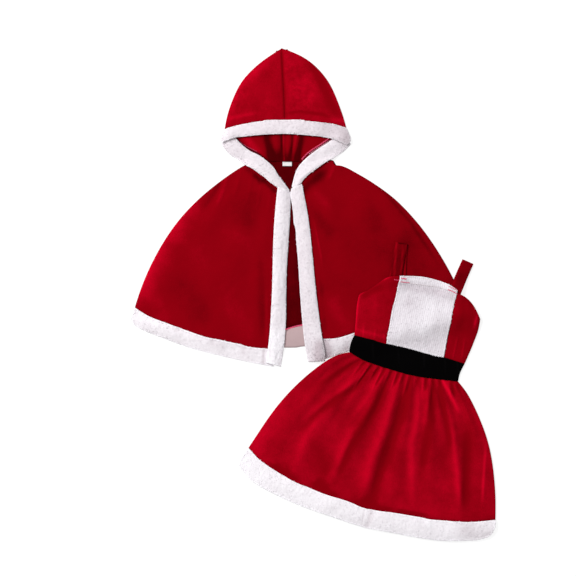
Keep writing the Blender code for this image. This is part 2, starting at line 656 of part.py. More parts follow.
def cape_body(table):
    """Back panel and its hem on the table, the neck label, then the two fronts and their hems."""
    back = patch("cape_back", CAPE_NECK_BACK, CAPE_HEM_BACK, CAPE_SIDE_LEFT, CAPE_SIDE_RIGHT)
    back_band = band("cape_hem_back", (CAPE_HEM_BACK, BAND_BACK_LOW))
    lay(table, CAPE_AT, CAPE_TURN, (
        ("cape_back", "velvet_red", back, flat(back), velvet(back) + uneven(back, "panel")),
        ("cape_hem_back", "plush_white", back_band, flat(back_band), plush(back_band, 1)),
    ))
    label = band("cape_label", ((LABEL_HIGH[0], LABEL_LOW[0]), (LABEL_HIGH[1], LABEL_LOW[1])))
    lay(table, CAPE_AT, CAPE_TURN, (
        ("cape_label", "label_white", label, uneven(label, "label"), flat(label) + LABEL_WALL),
    ))
    left = patch("cape_front", CAPE_NECK_LEFT, CAPE_HEM_FRONT_LEFT, CAPE_SIDE_LEFT, CAPE_EDGE_LEFT)
    right = patch("cape_front", CAPE_NECK_RIGHT, CAPE_HEM_FRONT_RIGHT, CAPE_EDGE_RIGHT, CAPE_SIDE_RIGHT)
    left_folds = ridges(left, FOLDS_LEFT) * rim_fade(left, RIM_CAPE)
    right_folds = ridges(right, FOLDS_RIGHT) * rim_fade(right, RIM_CAPE)
    left_ends = (BAND_LEFT_END, BAND_LEFT_START)
    left_band = band("cape_hem_front", (CAPE_HEM_FRONT_LEFT, BAND_LEFT_LOW), left_ends)
    right_band = band("cape_hem_front", (CAPE_HEM_FRONT_RIGHT, BAND_RIGHT_LOW))
    lay(table, CAPE_AT, CAPE_TURN, (
        ("cape_front_left", "velvet_red", left, left_folds, velvet(left)),
        ("cape_front_right", "velvet_red", right, right_folds, velvet(right)),
        ("cape_hem_left", "plush_white", left_band, uneven(left_band, "band"), plush(left_band, 1)),
        ("cape_hem_right", "plush_white", right_band, uneven(right_band, "band"), plush(right_band, 1)),
    ))


def hood_half(table, name, seams, neck, mouth, outer, side):
    """Hood panel, folded round the side: its back half lies on the table, its front half on that."""
    low_rows, cols = CELLS["hood_low"]
    high_rows = CELLS["hood_high"][0]
    rows = low_rows + high_rows
    low = patch("hood_low", (seams[0][0], neck), mouth, seams[0], outer)
    high = patch("hood_high", mouth, (PEAK, side[-1]), seams[1], side)
    plan = stand_back(np.concatenate([low, high[1:]], axis=0), SEAM)
    radius = (VELVET + FOLD_GAP) / 2
    outward = plan[:, -1] - plan[:, -2]
    outward /= np.linalg.norm(outward, axis=1)[:, None]
    plan[low_rows:, -1] -= outward[low_rows:] * (radius + VELVET / 2)
    share = np.linspace(0.0, 1.0, cols + 1)[None, :]
    climb = np.clip((np.arange(rows + 1) - low_rows) / high_rows, 0.0, 1.0)[:, None]
    rise = np.clip(np.arange(rows + 1) / low_rows, 0.0, 1.0)[:, None]
    air = HOOD_AIR * (1.0 - (1.0 - HOOD_AIR_TIP) * climb)
    air = air * np.sin(math.pi / 2 * np.clip((1.0 - share) / HOOD_AIR_WIDE, 0.0, 1.0))
    air = air * (1.0 - SEAM_SINK * np.exp(-((share / SEAM_SINK_WIDE) ** 2)))
    air += uneven(plan, "hood_air") * (1.0 - share)
    lift = np.zeros((rows + 1, cols + 1))
    for at_neck, at_mouth, height, half_wide in NECK_GATHERS:
        off = plan[..., 0] - (at_neck + (at_mouth - at_neck) * rise)
        fall = np.sin(math.pi * np.clip(NECK_GATHER_START + (1.0 - NECK_GATHER_START) * rise, 0.0, 1.0))
        lift += height * fall * np.exp(-((off / (half_wide * (1.0 + rise))) ** 2))
    lift *= np.clip((1.0 - share) / NECK_GATHER_RIM, 0.0, 1.0)
    thick = VELVET + uneven(plan, "hood_wall")
    thick[:, -1] = VELVET
    over = np.maximum(VELVET + FOLD_GAP, lift + thick + LAY_GAP) + air
    ground = on_table(plan, CAPE_AT, CAPE_TURN)
    outside = np.zeros((rows + 1, 2 * cols + FOLD_STEPS + 2, 3))
    inside = np.zeros_like(outside)
    for j in range(cols + 1):
        front = outside.shape[1] - 1 - j
        for grid, place, height in (
            (outside, j, lift),
            (inside, j, lift + thick),
            (inside, front, over),
            (outside, front, over + VELVET),
        ):
            grid[:, place, :2] = ground[:, j]
            grid[:, place, 2] = height[:, j]
    direction = on_table(plan[:, -1] + outward, CAPE_AT, CAPE_TURN) - ground[:, -1]
    for k in range(1, FOLD_STEPS + 1):
        angle = math.pi * k / (FOLD_STEPS + 1)
        for grid, reach in ((outside, radius + VELVET / 2), (inside, radius - VELVET / 2)):
            grid[:, cols + k, :2] = ground[:, -1] + direction * reach * math.sin(angle)
            grid[:, cols + k, 2] = VELVET + FOLD_GAP / 2 - reach * math.cos(angle)
    keep = np.ones((rows, outside.shape[1] - 1), dtype=bool)
    keep[:low_rows, cols:] = False
    wall(name, outside, inside, "velvet_red", keep)
    table.stamp(inside[:low_rows + 1, :cols + 1])
    return outside[low_rows:, cols + 1:]


def hood_and_trims(table):
    """The two hood panels, then the plush bands round the face and down the fronts."""
    seams = (HOOD_SEAM_LOW, HOOD_SEAM_HIGH)
    left_lines = (seams, HOOD_NECK_LEFT, HOOD_MOUTH_LEFT, HOOD_OUTER_LEFT, HOOD_SIDE_LEFT)
    right_lines = (seams, HOOD_NECK_RIGHT, HOOD_MOUTH_RIGHT, HOOD_OUTER_RIGHT, HOOD_SIDE_RIGHT)
    fronts = (hood_half(table, "hood_left", *left_lines), hood_half(table, "hood_right", *right_lines))
    layer = []
    for name, kind, sides in (
        ("hood_trim_left", "hood_trim_low", TRIM_LOW_LEFT_SIDES),
        ("hood_trim_right", "hood_trim_low", TRIM_LOW_RIGHT_SIDES),
        ("cape_trim_left", "cape_trim", TRIM_LEFT_SIDES),
        ("cape_trim_right", "cape_trim", TRIM_RIGHT_SIDES),
    ):
        strip = band(kind, sides)
        layer.append((name, "plush_white", strip, uneven(strip, "band"), plush(strip, 1)))
    lay(table, CAPE_AT, CAPE_TURN, layer)
    top = band("hood_trim_top", TRIM_TOP_SIDES, TRIM_TOP_ENDS)
    along = np.linspace(0.0, 1.0, top.shape[0])[:, None]
    lift = flat(top) + TRIM_TOP_LIFT * np.sin(math.pi * along) ** TRIM_TOP_ARCH
    lay(table, CAPE_AT, CAPE_TURN, (
        ("hood_trim_top", "plush_white", top, lift, plush(top, 1)),
    ))
    for front in fronts:
        table.stamp(front)


def strap(table, name, top, front_end, back_end):
    """Shoulder strap folded over at its top, the back half under the front half."""
    steps, across = CELLS["strap"]
    axis = np.array(top) - np.array(front_end)
    axis /= np.linalg.norm(axis)
    sideways = np.array([-axis[1], axis[0]])
    wide = np.linspace(-0.5, 0.5, across + 1) * STRAP_WIDE
    radius = (VELVET + FOLD_GAP) / 2
    turn_at = np.array(top) - axis * (radius + VELVET / 2)

    def half(end):
        line = end + (turn_at - end) * np.linspace(0.0, 1.0, steps + 1)[:, None]
        return on_table(line[:, None, :] + wide[None, :, None] * sideways, DRESS_AT, DRESS_TURN)

    def row(plan, height):
        return np.concatenate([plan, height[:, None]], axis=1)

    back = half(np.array(back_end))
    front = half(np.array(front_end))
    ground = np.maximum(table.lie(back, flat(back)), table.lie(front, flat(front)))
    outside = []
    inside = []
    for i in range(steps + 1):
        outside.append(row(back[i], ground[i]))
        inside.append(row(back[i], ground[i] + VELVET))
    tip = on_table(np.stack([turn_at, turn_at + axis]), DRESS_AT, DRESS_TURN)
    for k in range(1, FOLD_STEPS + 1):
        angle = math.pi * k / (FOLD_STEPS + 1)
        for grid, reach in ((outside, radius + VELVET / 2), (inside, radius - VELVET / 2)):
            place = front[-1] + (tip[1] - tip[0]) * reach * math.sin(angle)
            grid.append(row(place, ground[-1] + VELVET + FOLD_GAP / 2 - reach * math.cos(angle)))
    for i in range(steps, -1, -1):
        inside.append(row(front[i], ground[i] + VELVET + FOLD_GAP))
        outside.append(row(front[i], ground[i] + VELVET + FOLD_GAP + VELVET))
    wall(name, np.array(outside), np.array(inside), "velvet_red")
    table.stamp(np.array(outside))


def dress_back(table):
    """The dress's back layers, then the straps on them."""
    bodice = patch("bodice_back", BACK_TOP, WAIST_TOP, BODICE_SIDE_LEFT, BODICE_SIDE_RIGHT)
    belt = patch("belt_back", WAIST_TOP, WAIST_LOW, BELT_END_LEFT, BELT_END_RIGHT)
    skirt = patch("skirt_back", WAIST_LOW, SKIRT_HEM, SKIRT_SIDE_LEFT, SKIRT_SIDE_RIGHT)
    hem = patch("skirt_hem_back", SKIRT_HEM, SKIRT_BAND_LOW, BAND_END_LEFT, BAND_END_RIGHT)
    lay(table, DRESS_AT, DRESS_TURN, (
        ("bodice_back", "velvet_red", bodice, uneven(bodice, "back"), velvet(bodice)),
        ("belt_back", "velvet_black", belt, uneven(belt, "back"), velvet(belt)),
        ("skirt_back", "velvet_red", skirt, flat(skirt), velvet(skirt) + uneven(skirt, "panel")),
        ("skirt_hem_back", "plush_white", hem, flat(hem), plush(hem, 0)),
    ))
    for name, (fold, front_end, back_end) in STRAPS.items():
        strap(table, name, fold, front_end, back_end)


def dress_front(table):
    """The dress's front layers: bodice, belt, gathered skirt and its plush hem."""
    left = patch("bodice_side", ARMHOLE_LEFT, WAIST_LEFT, BODICE_SIDE_LEFT, CENTRE_SEAM_LEFT)
    centre = patch("bodice_centre", CENTRE_TOP, WAIST_CENTRE, CENTRE_SEAM_LEFT, CENTRE_SEAM_RIGHT)
    right = patch("bodice_side", ARMHOLE_RIGHT, WAIST_RIGHT, SIDE_SEAM_RIGHT, BODICE_SIDE_RIGHT)
    belt = patch("belt_front", WAIST_TOP, WAIST_LOW, BELT_END_LEFT, BELT_END_RIGHT)
    skirt = patch("skirt_front", WAIST_LOW, SKIRT_HEM, SKIRT_SIDE_LEFT, SKIRT_SIDE_RIGHT)
    hem = patch("skirt_hem_front", SKIRT_HEM, SKIRT_BAND_LOW, BAND_END_LEFT, BAND_END_RIGHT)
    left_folds = uneven(left, "bodice") * rim_fade(left, RIM_BODICE)
    right_folds = uneven(right, "bodice") * rim_fade(right, RIM_BODICE)
    belt_folds = BELT_LIFT * rim_fade(belt, RIM_BELT) + uneven(belt, "belt")
    folds = gathers(skirt)
    at_hem = np.linspace(0.0, 1.0, hem.shape[1])
    at_skirt = np.linspace(0.0, 1.0, skirt.shape[1])
    down = np.linspace(1.0, HEM_FALL, hem.shape[0])[:, None]
    hem_folds = np.interp(at_hem, at_skirt, folds[-1])[None, :] * down
    lay(table, DRESS_AT, DRESS_TURN, (
        ("bodice_front_left", "velvet_red", left, left_folds, velvet(left)),
        ("bodice_front_centre", "plush_white", centre, uneven(centre, "bodice"), flat(centre) + CENTRE_PLUSH),
        ("bodice_front_right", "velvet_red", right, right_folds, velvet(right)),
        ("belt_front", "velvet_black", belt, belt_folds, velvet(belt)),
        ("skirt_front", "velvet_red", skirt, folds, velvet(skirt)),
        ("skirt_hem_front", "plush_white", hem, hem_folds, plush(hem, 0)),
    ))


def main():
    for piece in list(bpy.data.objects):
        bpy.data.objects.remove(piece, do_unlink=True)
    table = Table()
    cape_body(table)
    hood_and_trims(table)
    dress_back(table)
    dress_front(table)


main()
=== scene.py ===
# %% [markdown]
# # A hooded baby cape and a pinafore dress, laid flat
#
# The set lies on a table and is seen from straight above. Every panel of the real
# garments is one sheet of cloth, so every sheet here starts as the skin of its own
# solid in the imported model: that keeps the outline and the big folds where they are.
# The skin is then smoothed, creased by hand and given the thickness of cloth.

import bmesh
import bpy
import numpy as np
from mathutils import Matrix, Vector, noise
from mathutils.bvhtree import BVHTree
from mathutils.kdtree import KDTree


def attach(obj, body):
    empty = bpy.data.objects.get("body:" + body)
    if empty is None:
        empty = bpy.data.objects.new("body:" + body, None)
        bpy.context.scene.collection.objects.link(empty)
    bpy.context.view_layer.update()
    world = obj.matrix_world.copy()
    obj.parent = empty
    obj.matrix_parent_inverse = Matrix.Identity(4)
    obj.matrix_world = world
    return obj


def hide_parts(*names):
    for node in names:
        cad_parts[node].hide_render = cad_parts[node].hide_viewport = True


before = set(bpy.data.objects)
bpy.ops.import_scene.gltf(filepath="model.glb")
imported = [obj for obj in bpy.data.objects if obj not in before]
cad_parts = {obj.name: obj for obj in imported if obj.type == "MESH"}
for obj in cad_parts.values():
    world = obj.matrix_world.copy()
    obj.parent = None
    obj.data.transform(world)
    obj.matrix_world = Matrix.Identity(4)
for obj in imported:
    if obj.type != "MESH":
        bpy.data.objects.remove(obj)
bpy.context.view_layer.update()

# %% [markdown]
# ## Measuring on the picture
#
# The creases are read off the photograph, so their places are written as points of the
# picture. One pixel covers 1.7 mm of the table, and the picture's point
# (313.3, 294.7) is above the middle of the set.

# %% From a point of the picture to a point of the table
MM = 0.001
PIXEL = 1.7 * MM
SET_MIDDLE = (313.3, 294.735)
PICTURE_SIDE = 576


def spot(across, down):
    return ((across - SET_MIDDLE[0]) * PIXEL, (SET_MIDDLE[1] - down) * PIXEL)


print("middle of the picture on the table:", spot(PICTURE_SIDE / 2, PICTURE_SIDE / 2))

# %% [markdown]
# ## Camera, floor and light
#
# A flat lay is photographed from straight above with a long lens, so that nothing
# leans. The floor is a plain white light table: most of its white is its own glow, so the
# set casts next to no shadow on it. One large soft lamp at the upper left makes the creases
# readable, and a pale sky fills the shadows.

# %% Camera
CAMERA_HEIGHT = 3.0
SENSOR = 36.0
lens = bpy.data.cameras.new("camera")
lens.sensor_width = SENSOR
lens.lens = SENSOR * CAMERA_HEIGHT / (PICTURE_SIDE * PIXEL)
camera = bpy.data.objects.new("camera", lens)
camera.location = (*spot(PICTURE_SIDE / 2, PICTURE_SIDE / 2), CAMERA_HEIGHT)
bpy.context.scene.collection.objects.link(camera)
bpy.context.scene.camera = camera
print("lens, mm:", round(lens.lens, 1))

# %% Lamp and sky
LAMP_AT = (-1.7, 1.3, 2.3)
LAMP_SIDE = 1.3
LAMP_POWER = 105.0
SKY = 0.55
WHITE = (1.0, 1.0, 1.0, 1.0)


def set_inputs(node, values):
    for socket, value in values.items():
        node.inputs[socket].default_value = value


lamp_light = bpy.data.lights.new("lamp", "AREA")
lamp_light.size = LAMP_SIDE
lamp_light.energy = LAMP_POWER
lamp = bpy.data.objects.new("lamp", lamp_light)
lamp.location = LAMP_AT
lamp.rotation_euler = (-Vector(LAMP_AT)).to_track_quat("-Z", "Y").to_euler()
bpy.context.scene.collection.objects.link(lamp)
sky = bpy.data.worlds.new("sky")
sky.use_nodes = True
set_inputs(sky.node_tree.nodes["Background"], {"Color": WHITE, "Strength": SKY})
bpy.context.scene.world = sky
bpy.context.scene.view_settings.view_transform = "Standard"
bpy.context.scene.view_settings.look = "None"

# %% Floor
FLOOR_SIDE = 40.0
FLOOR_BELOW = 0.1 * MM
FLOOR_PAINT = {
    "Base Color": (0.25, 0.25, 0.25, 1.0), "Emission Color": WHITE, "Emission Strength": 0.8,
    "Roughness": 0.9, "Specular IOR Level": 0.0,
}
bpy.ops.object.select_all(action="DESELECT")
bpy.ops.mesh.primitive_plane_add(size=FLOOR_SIDE, location=(0.0, 0.0, -FLOOR_BELOW))
floor = bpy.context.object
floor.name = "floor"
floor_paint = bpy.data.materials.new("floor_paint")
floor_paint.use_nodes = True
set_inputs(floor_paint.node_tree.nodes["Principled BSDF"], FLOOR_PAINT)
floor.data.materials.append(floor_paint)

# %% [markdown]
# ## Velvet
#
# Velvet is a short dense pile. Where a hand has brushed it the pile leans, and that
# patch looks lighter or darker than its neighbour. So the colour is mixed from a deep
# and a bright red by an attribute of the mesh for the nap and the shade, painted together
# with the creases, and by three noises. That attribute holds the lean of the pile and also
# painted light and shade: painted shade in troughs, under the bands, in shadowed places and
# in the hood's mouth, and painted highlight on ridges and rims. The sheen is the shader's
# own: the sides of a crease catch the light as the tips of the pile do.

# %% A helper for materials
WAVE_PERIOD = 0.314  # metres from band to band in a wave texture of scale 1
PILE_BUMP = 0.6 * MM
WEAVE_BUMP = 0.2 * MM


class Recipe:
    """A principled material, and the nodes that are added to it and wired."""

    def __init__(self, name, roughness, sheen, sheen_roughness, sheen_tint, specular=0.0):
        self.material = bpy.data.materials.new(name)
        self.material.use_nodes = True
        self.tree = self.material.node_tree
        self.shader = self.tree.nodes["Principled BSDF"]
        set_inputs(self.shader, {
            "Roughness": roughness, "Sheen Weight": sheen, "Sheen Roughness": sheen_roughness,
            "Sheen Tint": (*sheen_tint, 1.0), "Specular IOR Level": specular,
        })
        self.place = self.node("TexCoord").outputs["Object"]

    def node(self, kind, wires=(), **settings):
        """A new node. Each setting is the value of one of its sockets, or else a property."""
        made = self.tree.nodes.new("ShaderNode" + kind)
        for key, value in settings.items():
            if key in made.inputs:
                made.inputs[key].default_value = value
            else:
                setattr(made, key, value)
        for socket, source in wires:
            self.tree.links.new(source, made.inputs[socket])
        return made

    def speckle(self, scale, detail):
        made = self.node("TexNoise", [("Vector", self.place)], Scale=scale, Detail=detail)
        return made.outputs["Fac"]

    def bands(self, where, direction, width, distortion, detail_scale=1.0):
        """Parallel waves, each as wide as width."""
        wave = self.node("TexWave", [("Vector", where)], bands_direction=direction)
        set_inputs(wave, {
            "Scale": WAVE_PERIOD / width, "Distortion": distortion, "Detail Scale": detail_scale,
        })
        return wave.outputs["Fac"]

    def weigh(self, value, share, base=0.0):
        """value times share, plus base."""
        made = self.node("Math", [(0, value)], operation="MULTIPLY_ADD")
        set_inputs(made, {1: share, 2: base})
        return made.outputs[0]

    def add_up(self, first, second):
        return self.node("Math", [(0, first), (1, second)], operation="ADD").outputs[0]

    def level(self, nap_and_shade_share, swings):
        """From dark to bright: the painted lean of the pile with its painted light and shade, then each wave
        with how far it swings the level.
        """
        nap = self.node("Attribute", attribute_name="nap").outputs["Fac"]
        level = self.weigh(nap, nap_and_shade_share, 0.5)
        for wave, swing in swings:
            level = self.add_up(level, self.weigh(wave, swing, -0.5 * swing))
        return level

    def mixed(self, share, low, high):
        paint = self.node(
            "Mix", [("Factor", share)],
            data_type="RGBA", clamp_factor=True, A=(*low, 1.0), B=(*high, 1.0),
        )
        return paint.outputs["Result"]

    def finish(self, colour, height, strength, depth):
        """Wire the colour and the bump to the shader."""
        bump = self.node("Bump", [("Height", height)], Strength=strength, Distance=depth)
        self.tree.links.new(colour, self.shader.inputs["Base Color"])
        self.tree.links.new(bump.outputs["Normal"], self.shader.inputs["Normal"])
        return self.material


# %% Velvet material
# How far the lean of the pile, with its painted light and shade, moves the velvet's colour.
NAP_AND_SHADE_ON_VELVET = 0.45
VELVET_SPECKLES = ((17.0, 2.0, 0.26), (80.0, 3.0, 0.12), (900.0, 2.0, 0.3))  # scale, detail, swing
FINE_PILE = (1400.0, 2.0)  # scale, detail
COARSE_PILE = (240.0, 3.0)
FINE_SHARE = 0.5


def velvet(name, tones, sheen, sheen_tint):
    """tones are the dark, middle and bright colours of the pile."""
    recipe = Recipe(name, roughness=1.0, sheen=sheen, sheen_roughness=0.42, sheen_tint=sheen_tint)
    swings = [(recipe.speckle(scale, detail), swing) for scale, detail, swing in VELVET_SPECKLES]
    ramp = recipe.node("ValToRGB", [("Fac", recipe.level(NAP_AND_SHADE_ON_VELVET, swings))])
    ramp.color_ramp.interpolation = "EASE"
    stops = ramp.color_ramp.elements
    stops[0].color = (*tones[0], 1.0)
    stops[1].color = (*tones[2], 1.0)
    stops.new(0.5).color = (*tones[1], 1.0)
    fine = recipe.weigh(recipe.speckle(*FINE_PILE), FINE_SHARE)
    grain = recipe.add_up(fine, recipe.speckle(*COARSE_PILE))
    return recipe.finish(ramp.outputs["Color"], grain, strength=0.35, depth=PILE_BUMP)


RED_TONES = ((0.055, 0.0002, 0.0012), (0.200, 0.0003, 0.0036), (0.56, 0.0009, 0.0165))
BLACK_TONES = ((0.0005, 0.0004, 0.0005), (0.0012, 0.0010, 0.0011), (0.0060, 0.0050, 0.0055))
velvet_red = velvet("velvet_red", RED_TONES, sheen=0.25, sheen_tint=(1.0, 0.002, 0.035))
velvet_black = velvet("velvet_black", BLACK_TONES, sheen=0.02, sheen_tint=(0.9, 0.8, 0.85))

# %% [markdown]
# ## Plush, label tape and thread
#
# The white bands are a short curly plush. Its colour is near white, mixed towards a lilac
# grey, which is the painted shade of the hollows between the curls. Its wrong side is a
# duller knit; at the back hem its colour also holds painted shade and a painted pink
# reflection of the velvet. The bodice's centre shows knitted ribs. The tape of the neck
# label is a plain weave, and the threads are twisted yarn.

# %% Plush, tape and thread materials
# How far the lean of the pile, with its painted light and shade, moves the plush's colour.
NAP_AND_SHADE_ON_PLUSH = 0.5
PLUSH_PATCHES = (30.0, 3.0)  # scale, detail
PATCH_SWING = 0.3
PLUSH_SHEEN = (1.0, 0.94, 0.97)
PLUSH_CURLS = (420.0, 3.0)
PLUSH_RELIEF = (520.0, 3.0)
RIB_WIDTH = 3.4 * MM
RIB_TURN = 0.21
RIB_SWING = 0.22
RIB_RELIEF = 0.5
TAPE_THREAD = 0.5 * MM
YARN_THREAD = 0.4 * MM
WEAVE_SHADE = 0.75
WEAVE_SPECKLE = (400.0, 2.0)


def plush(name, shaded_colour, crown, grain, rib_turn=None):
    """Curly plush, mixed from a painted shade colour for its hollows to its colour on top. grain is how much
    its curls vary, rib_turn the angle of ribs that show.
    """
    recipe = Recipe(name, roughness=1.0, sheen=0.15, sheen_roughness=0.6, sheen_tint=PLUSH_SHEEN)
    swings = [(recipe.speckle(*PLUSH_PATCHES), PATCH_SWING), (recipe.speckle(*PLUSH_CURLS), grain)]
    height = recipe.speckle(*PLUSH_RELIEF)
    if rib_turn is not None:
        turned = recipe.node("Mapping", [("Vector", recipe.place)], Rotation=(0.0, 0.0, rib_turn))
        ribs = recipe.bands(turned.outputs["Vector"], "X", RIB_WIDTH, distortion=2.5, detail_scale=2.0)
        swings.append((ribs, RIB_SWING))
        height = recipe.add_up(height, recipe.weigh(ribs, RIB_RELIEF))
    colour = recipe.mixed(recipe.level(NAP_AND_SHADE_ON_PLUSH, swings), shaded_colour, crown)
    return recipe.finish(colour, height, strength=0.4, depth=PILE_BUMP)


def tape(name, colour, thread_width):
    """A plain weave or a twisted yarn: two crossing waves at the thread's own width."""
    recipe = Recipe(
        name, roughness=0.8, sheen=0.05, sheen_roughness=0.5, sheen_tint=colour, specular=0.1,
    )
    height = recipe.add_up(*(recipe.bands(recipe.place, way, thread_width, 0.6) for way in "XY"))
    shade = [WEAVE_SHADE * c for c in colour]
    tint = recipe.mixed(recipe.speckle(*WEAVE_SPECKLE), shade, colour)
    return recipe.finish(tint, height, strength=0.5, depth=WEAVE_BUMP)


THREAD_COLOURS = {
    "pink": (0.86, 0.085, 0.19),
    "red": (0.10, 0.002, 0.010),
    "white": (0.80, 0.72, 0.75),
    "pale": (0.90, 0.42, 0.50),
    "grey": (0.30, 0.28, 0.29),
}
plush_white = plush("plush_white", (0.47, 0.40, 0.432), (0.905, 0.885, 0.92), grain=0.36)
plush_ribbed = plush("plush_ribbed", (0.46, 0.40, 0.44), (0.875, 0.86, 0.895), grain=0.26, rib_turn=RIB_TURN)
# The back hem's wrong side: a duller knit, its colour darkened with painted shade and tinted with a painted
# pink reflection of the velvet fronts around it.
plush_backing = plush("plush_backing", (0.37, 0.265, 0.27), (0.47, 0.34, 0.35), grain=0.3)
label_tape = tape("label_tape", (0.78, 0.76, 0.76), TAPE_THREAD)
threads = {key: tape(key + "_thread", colour, YARN_THREAD) for key, colour in THREAD_COLOURS.items()}

# %% [markdown]
# ## What each sheet was cut from
#
# These are the pieces of cloth from the table up, each with the size that it was cut to:
# width, length and, where the cut isn't a rectangle, its area. The skirt and the
# bodice's back are gathered, so their cut is wider than what shows. The names at the end
# of a row are the pieces that it rests on.

# %% Pieces of cloth in the order in which they are laid
CUTS = {
    "cape_back": ("laid", 0.57, 0.29, 0.116),
    "cape_hem_back": ("laid", 0.6, 0.031, None),
    "cape_label": ("laid", 0.0155, 0.01, None, "cape_back"),
    "hood_left": ("folded", 0.19, 0.19, 0.0235, "cape_back"),
    "hood_right": ("folded", 0.2, 0.19, 0.0245, "cape_back"),
    "cape_front_left": ("laid", 0.255, 0.315, 0.0545, "cape_back"),
    "cape_front_right": ("laid", 0.29, 0.31, 0.0555, "cape_back"),
    "cape_hem_left": ("laid", 0.255, 0.0275, None, "cape_hem_back"),
    "cape_hem_right": ("laid", 0.275, 0.03, None, "cape_hem_back"),
    "hood_trim_left": ("laid", 0.145, 0.0235, None, "hood_left"),
    "hood_trim_right": ("laid", 0.135, 0.024, None, "hood_right"),
    "cape_trim_left": ("laid", 0.305, 0.027, None, "cape_back"),
    "cape_trim_right": ("laid", 0.305, 0.0285, None, "cape_back"),
    "hood_trim_top": ("laid", 0.225, 0.0255, None, "hood_left", "hood_right"),
    "skirt_back": ("gathered", 0.45, 0.235, 0.1),
    "skirt_hem_back": ("laid", 0.46, 0.033, None),
    "belt_back": ("gathered", 0.21, 0.039, None, "cape_front_right"),
    "bodice_back": ("gathered", 0.24, 0.085, None, "cape_front_right"),
    "strap_left": ("folded", 0.02, 0.142, None, "cape_front_right"),
    "strap_right": ("folded", 0.018, 0.16, None, "bodice_back"),
    "skirt_front": ("gathered", 0.45, 0.235, 0.1, "skirt_back"),
    "skirt_hem_front": ("laid", 0.46, 0.033, None, "skirt_hem_back"),
    "belt_front": ("laid", 0.205, 0.039, None, "belt_back"),
    "bodice_front_left": ("laid", 0.08, 0.115, 0.0062, "bodice_back"),
    "bodice_front_right": ("laid", 0.062, 0.12, 0.0051, "bodice_back"),
    "bodice_front_centre": ("laid", 0.11, 0.125, 0.013, "bodice_back"),
}
LAYING_ORDER = list(CUTS)
sheets = {}


def later_than(node):
    return LAYING_ORDER[LAYING_ORDER.index(node) + 1:]


print(len(LAYING_ORDER), "sheets to lay")

# %% [markdown]
# ## From a solid to a sheet of cloth
#
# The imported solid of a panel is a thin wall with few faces. Its upper skin is the
# outline and the big folds of the cloth. It could be drawn again by hand, but taking it
# from the solid keeps both in the same place. So a copy of the solid is merged, every
# face that doesn't look up is deleted, pairs of triangles become quads, and a
# Subdivision Surface makes a smooth fine sheet of it.

# %% Take the skin of a solid
SKIN_FACES_UP = 0.3
FOLD_ANGLE = 1.05
OPEN_EDGE = 9.0  # stands for the angle at an edge that has only one face
WELD = 0.001 * MM


def take_up(piece):
    bpy.ops.object.select_all(action="DESELECT")
    piece.select_set(True)
    bpy.context.view_layer.objects.active = piece


def copy_of(node):
    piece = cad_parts[node].copy()
    piece.data = piece.data.copy()
    piece.parent = None
    piece.name = piece.data.name = node + "_cloth"
    for key in list(piece.keys()):
        del piece[key]
    piece.data.materials.clear()
    bpy.context.scene.collection.objects.link(piece)
    take_up(piece)
    bpy.ops.object.mode_set(mode="EDIT")
    bpy.ops.mesh.select_all(action="SELECT")
    bpy.ops.mesh.remove_doubles(threshold=WELD)
    bpy.ops.mesh.customdata_custom_splitnormals_clear()
    bpy.ops.mesh.faces_shade_smooth()
    return piece


def outer_faces(shape):
    """The faces that a fingertip reaches from the highest face without crossing a cut edge."""
    start = max(shape.faces, key=lambda f: f.calc_center_median().z + f.normal.z)
    found, waiting = {start}, [start]
    while waiting:
        for edge in waiting.pop().edges:
            if edge.calc_face_angle(OPEN_EDGE) < FOLD_ANGLE:
                new = set(edge.link_faces) - found
                found |= new
                waiting.extend(new)
    return found


def in_quads(piece):
    bpy.ops.mesh.tris_convert_to_quads()
    bpy.ops.object.mode_set(mode="OBJECT")
    return piece


def skin_of(node, folded):
    """The upper skin of a laid panel, or the whole outer skin of a folded one."""
    piece = copy_of(node)
    bpy.ops.mesh.select_all(action="DESELECT")
    bpy.ops.mesh.select_mode(type="FACE")
    shape = bmesh.from_edit_mesh(piece.data)
    shape.normal_update()
    keep = outer_faces(shape) if folded else {f for f in shape.faces if f.normal.z > SKIN_FACES_UP}
    for face in shape.faces:
        face.select_set(face not in keep)
    bmesh.update_edit_mesh(piece.data)
    bpy.ops.mesh.delete(type="FACE")
    bpy.ops.mesh.select_all(action="SELECT")
    return in_quads(piece)


def modify(piece, kind, **settings):
    """Add a modifier, set it and apply it."""
    take_up(piece)
    modifier = piece.modifiers.new(kind, kind)
    for key, value in settings.items():
        setattr(modifier, key, value)
    bpy.ops.object.modifier_apply(modifier=modifier.name)


def finer(piece, levels):
    modify(piece, "SUBSURF", levels=levels, boundary_smooth="PRESERVE_CORNERS")


def points_of(piece, what="co"):
    """The place of each point, or what else it holds as three numbers, such as its normal."""
    values = np.empty(len(piece.data.vertices) * 3)
    piece.data.vertices.foreach_get(what, values)
    return values.reshape(-1, 3)


def put_points(piece, points):
    piece.data.vertices.foreach_set("co", points.ravel())
    piece.data.update()


# %% [markdown]
# ## Creases
#
# Each crease is a line on the picture with a height and a width of its own: a ridge is
# raised, a trough is sunk, and both fade out at their ends. A crease that starts under
# a band or at a seam starts its line beyond that seam. The third number is mostly painted
# light and shade along the line: painted shade in troughs, under bands and in shadowed
# places, painted highlight on ridges and rims. In places it is the real lean of the pile,
# brushed lighter or darker. A pull moves the cloth sideways instead, where a seam or an
# edge runs a little off its straight course. Two pieces that share a seam share its pull.

# %% Height, and nap with painted light and shade, from a table of creases
END_FADE = 0.28
FAR = 9.0


def measured(line):
    """The corners of a line of picture points on the table, and the length of each stretch."""
    corners = np.array([spot(*p) for p in line])
    return corners, np.linalg.norm(np.diff(corners, axis=0), axis=1)


